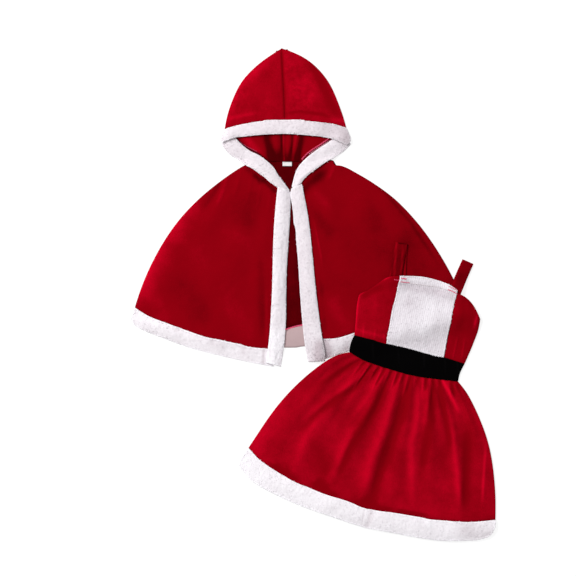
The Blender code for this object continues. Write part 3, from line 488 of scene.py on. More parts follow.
def reach(points, line):
    """Each point's distance to a line of picture points, and its share of the way along it."""
    corners, lengths = measured(line)
    if len(corners) == 1:
        return np.linalg.norm(points[:, :2] - corners[0], axis=1), np.full(len(points), 0.5)
    best = np.full(len(points), FAR)
    share = np.zeros(len(points))
    walked = 0.0
    for start, end, length in zip(corners, corners[1:], lengths):
        along = np.clip((points[:, :2] - start) @ (end - start) / length**2, 0.0, 1.0)
        away = np.linalg.norm(points[:, :2] - start - along[:, None] * (end - start), axis=1)
        nearer = away < best
        best[nearer] = away[nearer]
        share[nearer] = (walked + along[nearer] * length) / lengths.sum()
        walked += length
    return best, share


def hump(away, wide):
    """1 on a line, fading to next to nothing at twice its half width."""
    return np.exp(-((away / wide) ** 2))


def smooth_step(values, start=0.0, width=1.0):
    """0 up to start, then a soft rise to 1 over width."""
    values = np.clip((values - start) / width, 0.0, 1.0)
    return values * values * (3.0 - 2.0 * values)


def creases(points, rows):
    """Height in metres, and the pile's lean with painted light and shade. A row is (height mm, half width mm,
    lean of the pile and painted light and shade, picture points).
    """
    height = np.zeros(len(points))
    nap = np.zeros(len(points))
    for rise, half_wide, tone, *line in rows:
        away, share = reach(points, line)
        fade = smooth_step(share / END_FADE) * smooth_step((1.0 - share) / END_FADE)
        form = fade * hump(away, half_wide * MM)
        height += rise * MM * form
        nap += tone * form
    return height, nap


def pull(points, rows):
    """A row is (pixels across, pixels down, reach in pixels, picture points)."""
    for across, down, wide, *line in rows:
        form = hump(reach(points, line)[0], wide * PIXEL)[:, None]
        points[:, :2] += form * (across * PIXEL, -down * PIXEL)


def rumple(points, size, seed):
    """A soft random wave with humps of the given size in metres, from about -1 to 1."""
    return np.array([noise.noise((x / size, y / size, seed)) for x, y, _ in points])


# %% [markdown]
# ## Nothing cuts through what lies on it
#
# The set is dressed from the table up. A sheet may rise only up to the underside of the
# solid that lies on it, and it may sink only down to the finished cloth below it. Rays
# cast from its points find both. A cloth simulation would do this too, but it would
# also move the folds away from where the photograph has them.

# %% Room above and below
LAYER_GAP = 0.08 * MM
RAY_START = 1.0 * MM
NEARBY = 5.0 * MM
SKY_HIGH = 1.0
UP = Vector((0.0, 0.0, 1.0))
finished = {}


def tree_of(meshes, low, high):
    """One search tree of the meshes whose boxes come near the box from low to high."""
    points, faces = [], []
    for mesh_points, mesh_faces in meshes:
        if (mesh_points.max(0) < low).any() or (mesh_points.min(0) > high).any():
            continue
        base = len(points)
        points.extend(map(tuple, mesh_points))
        faces.extend([tuple(base + i for i in face) for face in mesh_faces])
    return BVHTree.FromPolygons(points, faces) if faces else None


def mesh_of(piece):
    return points_of(piece), [tuple(p.vertices) for p in piece.data.polygons]


def heights_met(tree, starts, direction, otherwise):
    found = np.full(len(starts), otherwise)
    if tree is None:
        return found
    for k, start in enumerate(starts):
        hit = tree.ray_cast(Vector(start), direction)[0]
        if hit is not None:
            found[k] = hit.z
    return found


def room(points, later_nodes):
    """The lowest underside above each point, and the highest finished cloth below it."""
    low = np.array([*(points.min(0)[:2] - NEARBY), -SKY_HIGH])
    high = np.array([*(points.max(0)[:2] + NEARBY), SKY_HIGH])
    above = tree_of([mesh_of(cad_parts[n]) for n in later_nodes], low, high)
    below = tree_of(finished.values(), low, high)
    ceiling = heights_met(above, points - (0.0, 0.0, RAY_START), UP, SKY_HIGH)
    support = heights_met(below, points + (0.0, 0.0, 0.5 * RAY_START), -UP, 0.0)
    return ceiling - LAYER_GAP, support + LAYER_GAP


# %% [markdown]
# ## Edges
#
# A sewn edge turns down into its seam. So the last few millimetres of each sheet are
# rolled down, and its rim reaches a little way out, where it meets the sheet on the
# other side of the seam. The plush of the hems stands up at its edges instead.

# %% Roll the edge of a sheet
SEAM_REACH = 0.25 * MM
CALM_CORE = 0.5  # share of a calm circle's radius within which the edge isn't rolled at all


def rim_of(piece):
    """The way out at each border point, and each point's distance to the border."""
    shape = bmesh.new()
    shape.from_mesh(piece.data)
    outward = {}
    for edge in shape.edges:
        if len(edge.link_faces) == 1:
            middle = (edge.verts[0].co + edge.verts[1].co) / 2
            side = (edge.verts[1].co - edge.verts[0].co).cross(edge.link_faces[0].normal)
            if side.dot(middle - edge.link_faces[0].calc_center_median()) < 0.0:
                side = -side
            for corner in edge.verts:
                outward[corner.index] = outward.get(corner.index, Vector()) + side.normalized()
    points = [v.co.copy() for v in shape.verts]
    shape.free()
    nearby = KDTree(len(outward))
    for index in outward:
        nearby.insert(points[index], index)
    nearby.balance()
    distance = np.array([nearby.find(p)[2] for p in points])
    return {i: np.array(v.normalized()) for i, v in outward.items()}, distance


def reach_out(points, outward, seam_reach):
    for index, way in outward.items():
        points[index] += way * seam_reach


def roll(distance, depth, width):
    """How far each point sinks at the edge."""
    return depth * (1.0 - smooth_step(distance / width)) ** 2


def roll_edge(points, rim, depth, width, seam_reach, calm):
    """calm lists (across, down, radius) circles of the picture where the edge stays level."""
    outward, distance = rim
    drop = roll(distance, depth, width)
    for across, down, radius in calm:
        away = np.linalg.norm(points[:, :2] - spot(across, down), axis=1)
        drop *= smooth_step(away / (radius * PIXEL), CALM_CORE)
    reach_out(points, outward, seam_reach)
    points[:, 2] -= drop


# %% [markdown]
# ## One sheet, start to end
#
# This function makes any laid panel: skin, smoothing, creases, small rumples, rolled
# edge, room above and below, then a Solidify modifier for the thickness of the cloth.
# Its underside is lifted off the cloth below where it would cut into it.

# %% Make a sheet
RIM_WIDTH = 1.3 * MM
THINNEST = 0.2 * MM
SEED_STEP = 900.0
rim_distance = {}


def shell(piece, thickness):
    modify(piece, "SOLIDIFY", thickness=thickness, offset=-1.0)


# The pile's lean and the painted light and shade go into one attribute of the mesh.
def paint_nap_and_shade(piece, nap):
    layer = piece.data.attributes.new("nap", "FLOAT", "POINT")
    layer.data.foreach_set("value", np.asarray(nap, np.float32))


def lift_underside(piece, top_count, support):
    """Lift the underside of a shell off the cloth below it, but not into its own top."""
    points = points_of(piece)
    top, low = points[:top_count, 2], points[top_count:, 2]
    low[:] = np.minimum(np.maximum(low, support), top - THINNEST)
    put_points(piece, points)


def hand_over(piece, node, material):
    """Cover a finished sheet, and say which node it stands for."""
    piece.data.materials.append(material)
    finished[piece.name] = mesh_of(piece)
    sheets[node] = piece
    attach(piece, "root")
    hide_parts(node)
    area = sum(face.area for face in piece.data.polygons) / 2
    print(f"{piece.name}: {len(piece.data.polygons)} faces, {area:.5f} m2 on one side")


def lay_sheet(node, rows, kind, **changes):
    """Make the sheet for a node out of a kind of cloth, with changes to its settings."""
    look = {**kind, **changes}
    piece = skin_of(node, folded=False)
    finer(piece, look["levels"])
    points = points_of(piece)
    pull(points, look["pulls"])
    ceiling, support = room(points, later_than(node))
    rim = rim_of(piece)
    distance = rim_distance[node] = rim[1]
    height, nap = creases(points, rows)
    for size, swing in look["rumples"]:
        height += swing * rumple(points, size, len(piece.name) + size * SEED_STEP)
    # Painted highlight along the plush's rim, where its edge would read grey in its own shade.
    nap += look["rim_nap"] * hump(distance, RIM_WIDTH)
    points[:, 2] += height * smooth_step(distance / look["edge_hold"])
    roll_edge(points, rim, look["roll"], look["roll_width"], look["reach"], look["calm"])
    points[:, 2] = np.minimum(points[:, 2], ceiling)
    points[:, 2] = np.maximum(points[:, 2], support + 0.5 * look["wall"])
    put_points(piece, points)
    paint_nap_and_shade(piece, nap + look["nap"])
    shell(piece, look["wall"])
    lift_underside(piece, len(points), support)
    hand_over(piece, node, look["material"])


# A sheet's own nap value shifts its whole colour. On the cape's back between the fronts, on the dress's back
# and on the sheets at the right, away from the lamp, it is painted shade.
ANY_CLOTH = {"levels": 3, "nap": 0.0, "reach": SEAM_REACH, "calm": (), "pulls": ()}
VELVET = {
    **ANY_CLOTH, "material": velvet_red, "slot": "velvet_red", "wall": 1.5 * MM, "rim_nap": 0.0,
    "rumples": ((34 * MM, 0.5 * MM), (12 * MM, 0.25 * MM)),
    "edge_hold": 4.0 * MM, "roll": 0.6 * MM, "roll_width": 4.5 * MM,
}
BLACK_VELVET = {**VELVET, "material": velvet_black, "slot": "velvet_black"}
PLUSH = {
    **ANY_CLOTH, "material": plush_white, "slot": "plush_white", "wall": 1.6 * MM, "rim_nap": 0.5,
    "rumples": ((16 * MM, 0.5 * MM), (5 * MM, 0.45 * MM)),
    "edge_hold": 1.5 * MM, "roll": 0.45 * MM, "roll_width": 4.0 * MM,
}
TAPE = {
    **VELVET, "material": label_tape, "slot": "label_white", "levels": 2, "wall": 0.6 * MM,
    "rumples": (), "roll": 0.1 * MM, "roll_width": 1.0 * MM,
}

# %% [markdown]
# ## The cape's back
#
# The back lies on the table with its inside up. It shows only between the open fronts,
# in their shadow, so it gets two soft folds and painted shade. Below it shows the wrong
# side of its plush hem, with painted shade and a painted pink reflection of the velvet.

# %% Cape back, its hem and the blank neck label
CAPE_BACK_CREASES = (
    (0.9, 5, 0.1, (291, 190), (293, 330)),
    (0.7, 4, 0, (298, 220), (299, 325)),
)
HOOD_BAND_IN = ((-0.7, -0.95, 4.5, (303, 181), (313, 172), (328, 161.7)),)
CAPE_SEAM_UP = ((0, -1.3, 7, (222, 340), (238, 343.5)),)
SHOULDER_STEP = (
    (-0.6, 2.4, 4, (337, 161.5)),
    (0, 1.2, 4, (342.5, 165)),
    (-1.8, 1.2, 2.4, (336.5, 163.4)),
)
BACK_SEAM_SLANT = (
    (0, 2, 5, (285.5, 327)),
    (0, -1.8, 5, (303, 326.5)),
)
lay_sheet(
    "cape_back", CAPE_BACK_CREASES, VELVET, levels=2, nap=-0.92, roll=0.1 * MM, reach=0.6 * MM,
    pulls=SHOULDER_STEP + BACK_SEAM_SLANT,
)
lay_sheet(
    "cape_hem_back", (), PLUSH, material=plush_backing, levels=2, rim_nap=0.0,
    pulls=(*BACK_SEAM_SLANT, (0, -1.2, 4, (303, 346.5))),
)
lay_sheet("cape_label", (), TAPE, pulls=((0, -0.8, 2, (283, 167), (291, 167)),))

# %% [markdown]
# ## The hood
#
# Each hood panel is folded round the side of the head: its back half lies on the table
# and its front half on that. So the whole outer skin is taken, round the fold, and the
# wall grows inwards. The centre seam sinks between the two panels, with painted shade
# along it, the fold at the side gets a painted highlight, the outer skin is painted lighter
# and the inside darker, and short gathers run from the neck into the mouth, with painted
# shade deep in it and under the top band. Part of the velvet is crushed, so its nap varies
# there from one fingertip to the next.

# %% Hood panels
HOOD_CREASES = {
    "hood_left": (
        (0.8, 3.5, 0.24, (222, 121), (238, 117), (262, 113)),
        (0.7, 9, 0.02, (266, 70), (252, 90), (246, 106)),
        (-0.3, 8, -0.05, (273, 66), (264, 88), (262, 108)),
        (0.4, 12, -0.02, (274, 92), (272, 110)),
        # Painted highlight along the fold at the hood's left side.
        (0, 8, 0.26, (284, 40), (266, 62), (250, 75), (237, 89), (222, 134)),
    ),
    "hood_right": (
        (-0.6, 2.6, -0.35, (278, 115), (300, 112), (322, 115), (336, 119)),
        (0.8, 5, 0.25, (328, 120), (341, 121), (354, 124)),
        (0.5, 12, 0.04, (294, 64), (296, 84), (295, 102)),
        (0, 22, 0.18, (292, 78), (304, 92), (316, 108)),
        (0.5, 10, 0.04, (308, 88), (314, 108)),
        (-0.3, 9, -0.06, (305, 66), (308, 90), (303, 108)),
        # Painted shade along the hood's right side.
        (0, 7, -0.4, (300, 56), (315, 71), (331, 103), (342, 124)),
    ),
}
CRUSHED = {
    "hood_left": ((1, 16, 0, (240, 80), (236, 116)),),
    "hood_right": ((1, 24, 0, (286, 44), (296, 78), (306, 126)),),
}
CRUSH_SWINGS = ((9.0 * MM, 0.16), (4.0 * MM, 0.12))
MOUTH_CREASES = (
    # Painted shade deep in the mouth, near the neck.
    (0, 15, -0.9, (262, 160), (284, 157), (306, 160)),
    (-0.7, 6.2, -0.75, (264, 120), (267, 140), (273, 166)),
    (0.9, 4.6, 0.22, (274.6, 120), (276, 138), (278, 160)),
    (-0.7, 2, -0.7, (280.6, 118), (281.4, 140), (281.6, 156)),
    (0.9, 1.8, 0.95, (283.4, 112), (283.6, 145), (284.4, 178)),
    (0.8, 3, 0.4, (288.6, 118), (288.4, 138), (286.5, 164)),
    (-0.6, 2.2, -0.55, (292.4, 118), (292.2, 140), (290, 162)),
    (1.1, 3.4, 0.65, (297.5, 116), (296, 140), (290.5, 178)),
    (-0.7, 5, -0.85, (303, 118), (301, 140), (295, 168)),
    (0.8, 12, 0.66, (266, 166), (252, 146), (238, 126)),
    (0.6, 10, 0.24, (300, 164), (312, 146), (326, 128)),
    # Painted shadow that the top band casts into the mouth.
    (0, 2.3, -1.5, (226, 133), (236.6, 139.6), (241.8, 143.8), (247.6, 148.4), (253.4, 151.6),
     (259.6, 154.8), (274, 167)),
)
HOOD_WALL = 1.2 * MM
HOOD_REACH = 0.5 * MM
HOOD_EDGE_HOLD = 3.0 * MM
HOOD_ROLL = (0.8 * MM, 5.0 * MM)  # depth, width
HOOD_RUMPLES = ((30 * MM, 0.45 * MM, 3.1), (11 * MM, 0.2 * MM, 5.2))  # size, swing, seed
CRUSH_SEED = 9.3
LOOKS_UP = (0.2, 0.5)  # the slope where a face begins to look up, and over how much more it does so
LOOKS_DOWN = (-0.7, 0.5)
MOUTH_RISE = 0.1 * MM
SHADE_INSIDE = -0.25
SHADE_OUTSIDE = 0.28
SEAM_SHADE = -0.62
SEAM_SHADE_WIDE = 2.0 * MM
SEAM_SHADE_TO = spot(0, 118)[1]
PEAK_SHADE = 0.35  # share of the seam's shade that is left at the peak
PEAK_FROM = spot(0, 50)[1]
PEAK_FADE = 14 * MM


def hood_panel(node):
    piece = skin_of(node, folded=True)
    finer(piece, 3)
    points = points_of(piece)
    facing = points_of(piece, "normal")[:, 2]
    top = smooth_step(facing, *LOOKS_UP)
    inside = 1.0 - smooth_step(facing, *LOOKS_DOWN)
    ceiling = room(points, later_than(node))[0]
    outward, distance = rim_of(piece)
    height, nap = creases(points, HOOD_CREASES[node])
    crushed = creases(points, CRUSHED[node])[0] / MM
    for size, swing in CRUSH_SWINGS:
        nap += swing * crushed * rumple(points, size, CRUSH_SEED)
    for size, swing, seed in HOOD_RUMPLES:
        height += swing * rumple(points, size, seed)
    mouth_height, mouth_light_and_shade = creases(points, MOUTH_CREASES)
    height = top * height + inside * (np.abs(mouth_height) + MOUTH_RISE)
    points[:, 2] += height * smooth_step(distance / HOOD_EDGE_HOLD)
    points[:, 2] -= top * roll(distance, *HOOD_ROLL)
    reach_out(points, outward, HOOD_REACH)
    points[:, 2] = np.where(top > 0.5, np.minimum(points[:, 2], ceiling), points[:, 2])
    points[:, 2] = np.maximum(points[:, 2], 0.0)
    seam_shade = SEAM_SHADE * hump(distance, SEAM_SHADE_WIDE) * (points[:, 1] > SEAM_SHADE_TO)
    seam_shade *= PEAK_SHADE + (1.0 - PEAK_SHADE) * smooth_step((PEAK_FROM - points[:, 1]) / PEAK_FADE)
    put_points(piece, points)
    shade = SHADE_INSIDE * inside + SHADE_OUTSIDE * top
    paint_nap_and_shade(piece, top * (nap + seam_shade) + inside * mouth_light_and_shade + shade)
    shell(piece, HOOD_WALL)
    points = points_of(piece)
    points[:, 2] = np.maximum(points[:, 2], 0.0)
    put_points(piece, points)
    hand_over(piece, node, velvet_red)


hood_panel("hood_left")
hood_panel("hood_right")

# %% [markdown]
# ## The cape's fronts
#
# The two fronts lie on the back with their right side up. Short gathers run out from
# under the hood's band, one long ridge crosses the right front, and the rest is soft.

# %% Cape fronts
CAPE_LEFT_CREASES = (
    # Painted highlight along the left edge, which faces the lamp; the last row adds to it.
    (0, 30, 0.58, (212, 178), (166, 226), (142, 275), (130, 322)),
    (0, 18, 0.18, (182, 218), (179, 234), (176, 248)),
    (0.6, 16, 0.15, (184, 238), (204, 262), (220, 284)),
    (0.3, 14, 0.09, (232, 224), (242, 238), (252, 256)),
    (0.6, 18, 0.17, (216, 294), (240, 318), (262, 346)),
    (-0.4, 24, -0.34, (170, 270), (192, 300), (212, 332)),
    (0, 26, -0.34, (262, 186), (244, 212), (236, 236)),
    (-0.5, 8, -0.36, (260, 240), (262, 300), (262, 352)),
    (0.6, 2.2, 0.4, (267, 286), (267, 320), (267, 350)),
    # Painted shadow of the hood's band, with a slight dent under it.
    (-0.4, 7, -0.58, (242, 163), (255, 175), (268, 184)),
    (-0.2, 4, -0.35, (253, 172), (258, 179), (261, 188)),
    (-0.4, 6, -0.75, (260, 176), (270, 186), (280, 196)),
    (1.2, 5, 0.3, (230, 168), (225, 184), (220, 198), (215, 212)),
    (-0.7, 6, -0.45, (224, 176), (214, 194), (200, 214)),
    (0.6, 3.6, 0.06, (242, 166), (238, 184), (233, 200)),
    (0.5, 3.2, 0.05, (253, 172), (250, 190), (245, 208)),
    (0.5, 3, 0.05, (262, 178), (260, 194), (256, 212)),
    (0.5, 3.2, 0.05, (270, 182), (270, 198), (268, 216)),
    (0.4, 14, 0.18, (154, 290), (162, 308), (170, 328)),
    (0, 8, 0.22, (206, 176), (184, 200), (162, 234), (144, 276), (132, 322)),
)
CAPE_RIGHT_CREASES = (
    # Painted shadow of the hood's band, with its dent.
    (-0.4, 10, -0.8, (292, 202), (310, 184), (330, 166)),
    (1, 4, 0.45, (338, 156), (333, 169), (326, 184)),
    (1.1, 14, 0.32, (300, 178), (313, 192), (326, 206), (340, 222)),
    (-0.6, 11, -0.26, (302, 196), (314, 210), (324, 224), (336, 246)),
    (0.6, 2.2, 0.42, (313, 216), (317, 236), (321, 256), (323, 272)),
    (0.8, 19, 0.34, (324, 286), (338, 312), (352, 344)),
    # Painted shade on the right part, away from the lamp, and along its right rim.
    (0, 30, -0.3, (396, 226), (412, 258), (428, 292)),
    (0, 26, -0.2, (350, 205), (378, 238), (396, 270)),
    (0, 16, 0.16, (322, 178), (345, 190), (372, 210)),
    (0, 3.6, -0.36, (344, 158), (372, 178), (410, 222), (446, 276)),
    (0.6, 16, 0.14, (342, 200), (356, 220), (368, 246)),
    (-0.5, 10, -0.12, (364, 190), (374, 214), (380, 240)),
    (0.6, 11, 0.1, (376, 190), (388, 210), (394, 232)),
    (-0.6, 5, -0.3, (319, 270), (323, 300), (326, 344)),
)
lay_sheet("cape_front_left", CAPE_LEFT_CREASES, VELVET, nap=-0.03, pulls=CAPE_SEAM_UP)
lay_sheet("cape_front_right", CAPE_RIGHT_CREASES, VELVET, nap=-0.14, pulls=SHOULDER_STEP + HOOD_BAND_IN)

# %% [markdown]
# ## The cape's plush bands
#
# A band is a strip of plush, folded over the edge and sewn through, so it is fuller in
# the middle than at its edges. The solids have that crown. Here it gets small dents,
# painted shade at the foot of the right front band and over the right end of the hood's
# top band, painted highlight at the foot of the left front band, and the turned edge
# there.

# %% Cape bands
HEM_LEFT_CREASES = (
    (-0.6, 4, -0.3, (178, 322), (176, 334)),
    (-0.7, 5, -0.3, (214, 334), (211, 348)),
    (-0.5, 4, -0.3, (244, 342), (243, 356)),
    (0.6, 6, 0.2, (150, 318), (160, 328)),
    (-0.4, 2.4, -0.75, (265, 338), (263.4, 357), (262.6, 378)),
)
HEM_EDGE = {"roll": -0.4 * MM, "roll_width": 2.5 * MM, "reach": 0.7 * MM}
HEM_RIGHT_CREASES = (
    # Painted shade under the foot of the right front band, pink with a painted reflection of the velvet.
    (-0.6, 8, -1.1, (322, 334), (327, 350), (330, 368)),
    (-0.5, 4, -0.3, (346, 340), (347, 352)),
)
BAND_CREASES = {
    # Painted shade over the band's right end.
    "hood_trim_top": ((0, 22, -0.4, (312, 126), (334, 131), (358, 142)),),
    "cape_trim_left": (
        (-0.3, 1.8, -0.3, (270.6, 342), (270, 352), (269.4, 362)),
        # This row and the last of the band are painted highlight at the foot.
        (0, 2.6, 0.6, (262, 361.5), (271, 364), (280, 367)),
        (0.4, 2, 0.2, (268, 352), (267.6, 361)),
        (0, 16, 0.55, (277, 322), (276, 345), (275, 384)),
    ),
    "cape_trim_right": (
        # Painted shade at the foot, pink with a painted reflection of the velvet.
        (0, 9.5, -0.88, (320, 334), (318, 355), (317, 378)),
        (-0.3, 3, -0.12, (322, 332), (323, 346), (324, 364)),
    ),
}
lay_sheet("cape_hem_left", HEM_LEFT_CREASES, PLUSH, nap=0.12, pulls=CAPE_SEAM_UP, **HEM_EDGE)
lay_sheet("cape_hem_right", HEM_RIGHT_CREASES, PLUSH, nap=-0.25, **HEM_EDGE)
BAND_REACH = 0.55 * MM
BAND_HUMPS = ((16 * MM, 0.5 * MM), (4.5 * MM, 0.65 * MM))
BANDS = {
    "hood_trim_left": {
        "nap": -0.22,
        "calm": ((279, 188, 10), (228, 146, 10)),
        "pulls": (
            (0.9, -1.2, 5, (258, 154.5), (266, 161), (273, 169)),
            (-1, 0.6, 5, (246, 165.5)),
            (0.2, 1.3, 4.5, (270, 182), (277, 187)),
        ),
    },
    "hood_trim_right": {"nap": -0.14, "calm": ((296, 185, 10), (341, 146, 10)), "pulls": HOOD_BAND_IN},
    "cape_trim_left": {"calm": ((280, 190, 9),), "rumples": BAND_HUMPS},
    "cape_trim_right": {
        "nap": -0.22,
        "calm": ((298, 187, 9),),
        "rumples": BAND_HUMPS,
        "pulls": ((-2.2, 0, 5, (292, 196), (293.5, 210), (294.5, 222)),),
    },
    "hood_trim_top": {
        "nap": -0.3,
        "calm": ((226, 142, 12), (345, 144, 12)),
        "pulls": ((0, 0.9, 6, (246, 136), (272, 133.5), (298, 134), (324, 137)),),
    },
}
for node, changes in BANDS.items():
    lay_sheet(node, BAND_CREASES.get(node, ()), PLUSH, reach=BAND_REACH, **changes)

# %% [markdown]
# ## The dress: what lies below
#
# The back of the dress lies on the table and on the cape. Elastic gathers its bodice
# and belt into upright folds, and the skirt hangs from them.

# %% Back of the dress
BACK_GATHERS = [
    (1.1 + 0.3 * (k % 3), 2.6, 0.2,
     (366 + 8.6 * k + 1.5 * (k % 2), 346 - 1.2 * k), (378 + 7.4 * k, 268 + 2 * k))
    for k in range(12)
]
BODICE_SIDE_IN = ((-0.4, 0, 9, (478, 328), (475, 338)),)
lay_sheet("skirt_back", (), VELVET, levels=2, nap=-0.4)
lay_sheet("skirt_hem_back", (), PLUSH, levels=2, nap=-0.4)
lay_sheet("belt_back", (), BLACK_VELVET, levels=2)
lay_sheet("bodice_back", BACK_GATHERS, VELVET, levels=2, nap=-0.3, pulls=BODICE_SIDE_IN)

# %% [markdown]
# ## Straps
#
# A strap is a flat tube of velvet, doubled over at the shoulder. It is a small closed
# form, so the whole solid is smoothed, with its cut edges kept fairly sharp.

# %% Shoulder straps
# Strap rows are tone alone: painted highlight along the edges, painted shade over the middle and under the
# folded top of the left strap.
STRAP_CREASES = {
    "strap_left": (
        (0, 60, -0.62, (396, 260)),
        (0, 1.3, 1, (397.4, 234), (396, 246), (393, 284)),
        (0, 1.1, 0.7, (392.2, 240), (390.6, 256), (388.6, 286)),
        (0, 1.3, 1, (407.8, 236), (406, 254), (404.2, 284)),
        (0, 1.1, 0.6, (402.8, 240), (401.8, 256), (400.6, 284)),
        (0, 1.6, -0.6, (396, 243), (402, 243.4), (409, 243.8)),
    ),
    "strap_right": (
        (0, 40, -0.5, (464, 276)),
        (0, 1.6, 0.35, (464.4, 256), (458, 272), (450, 292)),
    ),
}
STRAP_SHARPNESS = 0.6
STRAP_RUMPLE = (9 * MM, 0.2 * MM, 7.7)  # size, swing, seed


def strap_piece(node):
    piece = copy_of(node)
    shape = bmesh.from_edit_mesh(piece.data)
    shape.normal_update()
    layer = shape.edges.layers.float.get("crease_edge") or shape.edges.layers.float.new("crease_edge")
    for edge in shape.edges:
        edge[layer] = STRAP_SHARPNESS if edge.calc_face_angle(0.0) > FOLD_ANGLE else 0.0
    bmesh.update_edit_mesh(piece.data)
    finer(in_quads(piece), 2)
    points = points_of(piece)
    ceiling = room(points, later_than(node))[0]
    size, swing, seed = STRAP_RUMPLE
    points[:, 2] += swing * rumple(points, size, seed)
    points[:, 2] = np.maximum(np.minimum(points[:, 2], ceiling), 0.0)
    put_points(piece, points)
    paint_nap_and_shade(piece, creases(points, STRAP_CREASES[node])[1])
    hand_over(piece, node, velvet_red)


strap_piece("strap_left")
strap_piece("strap_right")

# %% [markdown]
# ## The skirt's front
#
# The skirt is gathered into the belt, so its folds start narrow and close together and
# run out wide towards the hem. The solid holds the biggest. This table adds the ridges
# and troughs between them, and the short gathers under the belt. Ridges get painted
# highlight, troughs painted shade, and painted shade runs where the skirt puffs over the
# hem's seam.

# %% Skirt front
SKIRT_CREASES = (
    (-1.4, 6.6, -0.58, (394, 366), (375, 409), (354, 441), (332, 486)),
    (-0.8, 6, -0.4, (380, 362), (357, 386), (339, 396), (318, 412), (298, 436)),
    (-1.8, 8, -0.6, (413, 366), (406, 394), (398.6, 420), (388, 448), (378, 477), (368, 512)),
    (-1.2, 6, -0.48, (433, 372), (431, 420), (427, 438), (420, 482)),
    (-1, 5, -0.42, (436, 376), (443, 407), (448, 433), (452, 458)),
    (-1.1, 7, -0.44, (468, 424), (465, 485), (462, 518)),
    (-0.7, 4.5, -0.34, (368, 356), (340, 372), (316, 388)),
    (0, 13, -0.14, (308, 430), (320, 456), (332, 482)),
    (3.2, 10, 0.26, (399, 370), (385.6, 425), (370, 464), (362, 510)),
    (3.2, 8, 0.32, (421, 372), (417, 420), (411.6, 446), (412, 477), (414, 520)),
    (2, 3.6, 0.7, (439, 370), (447, 389), (453, 399), (462, 418)),
    (2.4, 6.5, 0.34, (450, 414), (456, 464), (462, 520)),
    (2.2, 9, 0.22, (356, 416), (339, 462), (325, 492)),
    (1.9, 9, 0.22, (326, 406), (305, 438), (295, 474)),
    (1.6, 5, 0.18, (378, 364), (350, 384), (326, 402), (302, 422)),
    (1, 2.6, 0.45, (486, 438), (483, 485), (482, 508)),
    (1.5, 5, 0.14, (388, 366), (368, 396), (348, 426)),
    (1.4, 4, 0.14, (429, 374), (427, 405), (423, 432)),
    (0.4, 16, 0.16, (306, 372), (278, 410), (246, 464)),
    (0, 14, 0.14, (272, 422), (262, 440), (250, 458)),
    (0.9, 9, 0.12, (474, 398), (482, 428), (487, 454)),
    (-0.5, 3, -0.5, (262, 461), (284, 472), (306, 482)),
    (-0.4, 6, -0.25, (272, 462), (284, 468), (292, 473)),
    (-0.5, 3, -0.5, (306, 481), (324, 489), (342, 496)),
    (-0.4, 6, -0.3, (314, 480), (324, 484), (332, 489)),
    (-0.5, 3, -0.5, (350, 499), (372, 505), (396, 510)),
    (-0.4, 6.5, -0.3, (360, 497), (370, 500), (380, 503)),
    (-0.4, 3, -0.45, (392, 509), (410, 513), (432, 516)),
)
GATHER_SHAPES = (
    (361, 363, 16, 0.7), (368, 366, 27, 1.2), (375.5, 368, 15, 0.8), (381, 370, 22, 1.3),
    (388.4, 372, 13, 0.8),
    (396, 373, 18, 1.2), (401, 375, 12, 0.7), (407.5, 376, 24, 1.3), (415, 377, 12, 0.8), (423, 378, 17, 1.3),
    (430, 379, 23, 1), (436.5, 380, 13, 0.9), (448, 382, 21, 1.3), (454, 382, 12, 0.8), (460, 383, 17, 1.1),
)
GATHER_HALF_WIDE = 1.9
GATHER_LEAN = 0.010
BELT_MIDDLE = 430
UNDER_BELT = 12
# The second number of RIDGE and TROUGH is painted light on a ridge and painted shade in a trough.
RIDGE = (1.1, 0.16, 0, 1.0)  # height mm, nap, pixels to the right, share of the gather's length
TROUGH = (-0.6, -0.5, 3, 0.8)
SKIRT_GATHERS = [
    (rise * bold, GATHER_HALF_WIDE, tone * bold,
     (x + aside, y - UNDER_BELT), (x + aside, y),
     (x + aside + (x - BELT_MIDDLE) * GATHER_LEAN * long, y + share * long))
    for x, y, long, bold in GATHER_SHAPES
    for rise, tone, aside, share in (RIDGE, TROUGH)
]
SKIRT_SEAM_UP = ((0, -1.5, 9, (310, 488), (342, 499.5), (378, 511), (418, 517)),)
lay_sheet(
    "skirt_front", (*SKIRT_CREASES, *SKIRT_GATHERS), VELVET, levels=2, nap=0.34, roll=0.4 * MM,
    pulls=SKIRT_SEAM_UP,
)

# %% Skirt hem and belt
# Painted shade in the dents and over the band's right end, painted highlight on the raised places.
HEM_CREASES = (
    (-0.9, 4, -0.5, (286, 462), (284, 476)),
    (-0.8, 4, -0.4, (323, 478), (321, 492)),
    (-0.9, 4, -0.5, (376, 492), (374, 507)),
    (-0.9, 4, -0.5, (408, 502), (406, 517)),
    (-0.7, 5, -0.55, (373, 498), (371, 514), (364, 534)),
    (-0.5, 1.6, -0.25, (366, 500), (364.5, 509), (361, 530)),
    (0.9, 6, 0.3, (430, 508), (428, 530)),
    (-0.5, 16, -0.5, (452, 520), (474, 534), (506, 536)),
    (0, 24, 0.1, (238, 452), (254, 470), (276, 484)),
)
# Painted highlight on the belt's ridges.
BELT_CREASES = (
    (0.8, 2.4, 0.3, (372, 340), (374, 362)),
    (0.7, 2.2, 0.2, (398, 344), (399, 368)),
    (0.8, 2.6, 0.3, (424, 346), (424, 372)),
    (0.9, 2, 0.3, (444, 350), (446, 378)),
    (0.8, 2, 0.3, (456, 352), (459, 380)),
)
lay_sheet("skirt_hem_front", HEM_CREASES, PLUSH, nap=0.40, pulls=SKIRT_SEAM_UP, **HEM_EDGE)
lay_sheet("belt_front", BELT_CREASES, BLACK_VELVET)

# %% [markdown]
# ## The bodice's front
#
# Two velvet sides and a plush centre are sewn to each other. The centre's top edge is
# turned under and stitched, so it is a soft roll with a sunk line and painted shade below
# it. The velvet sides get painted highlights along their edges and just above the belt.

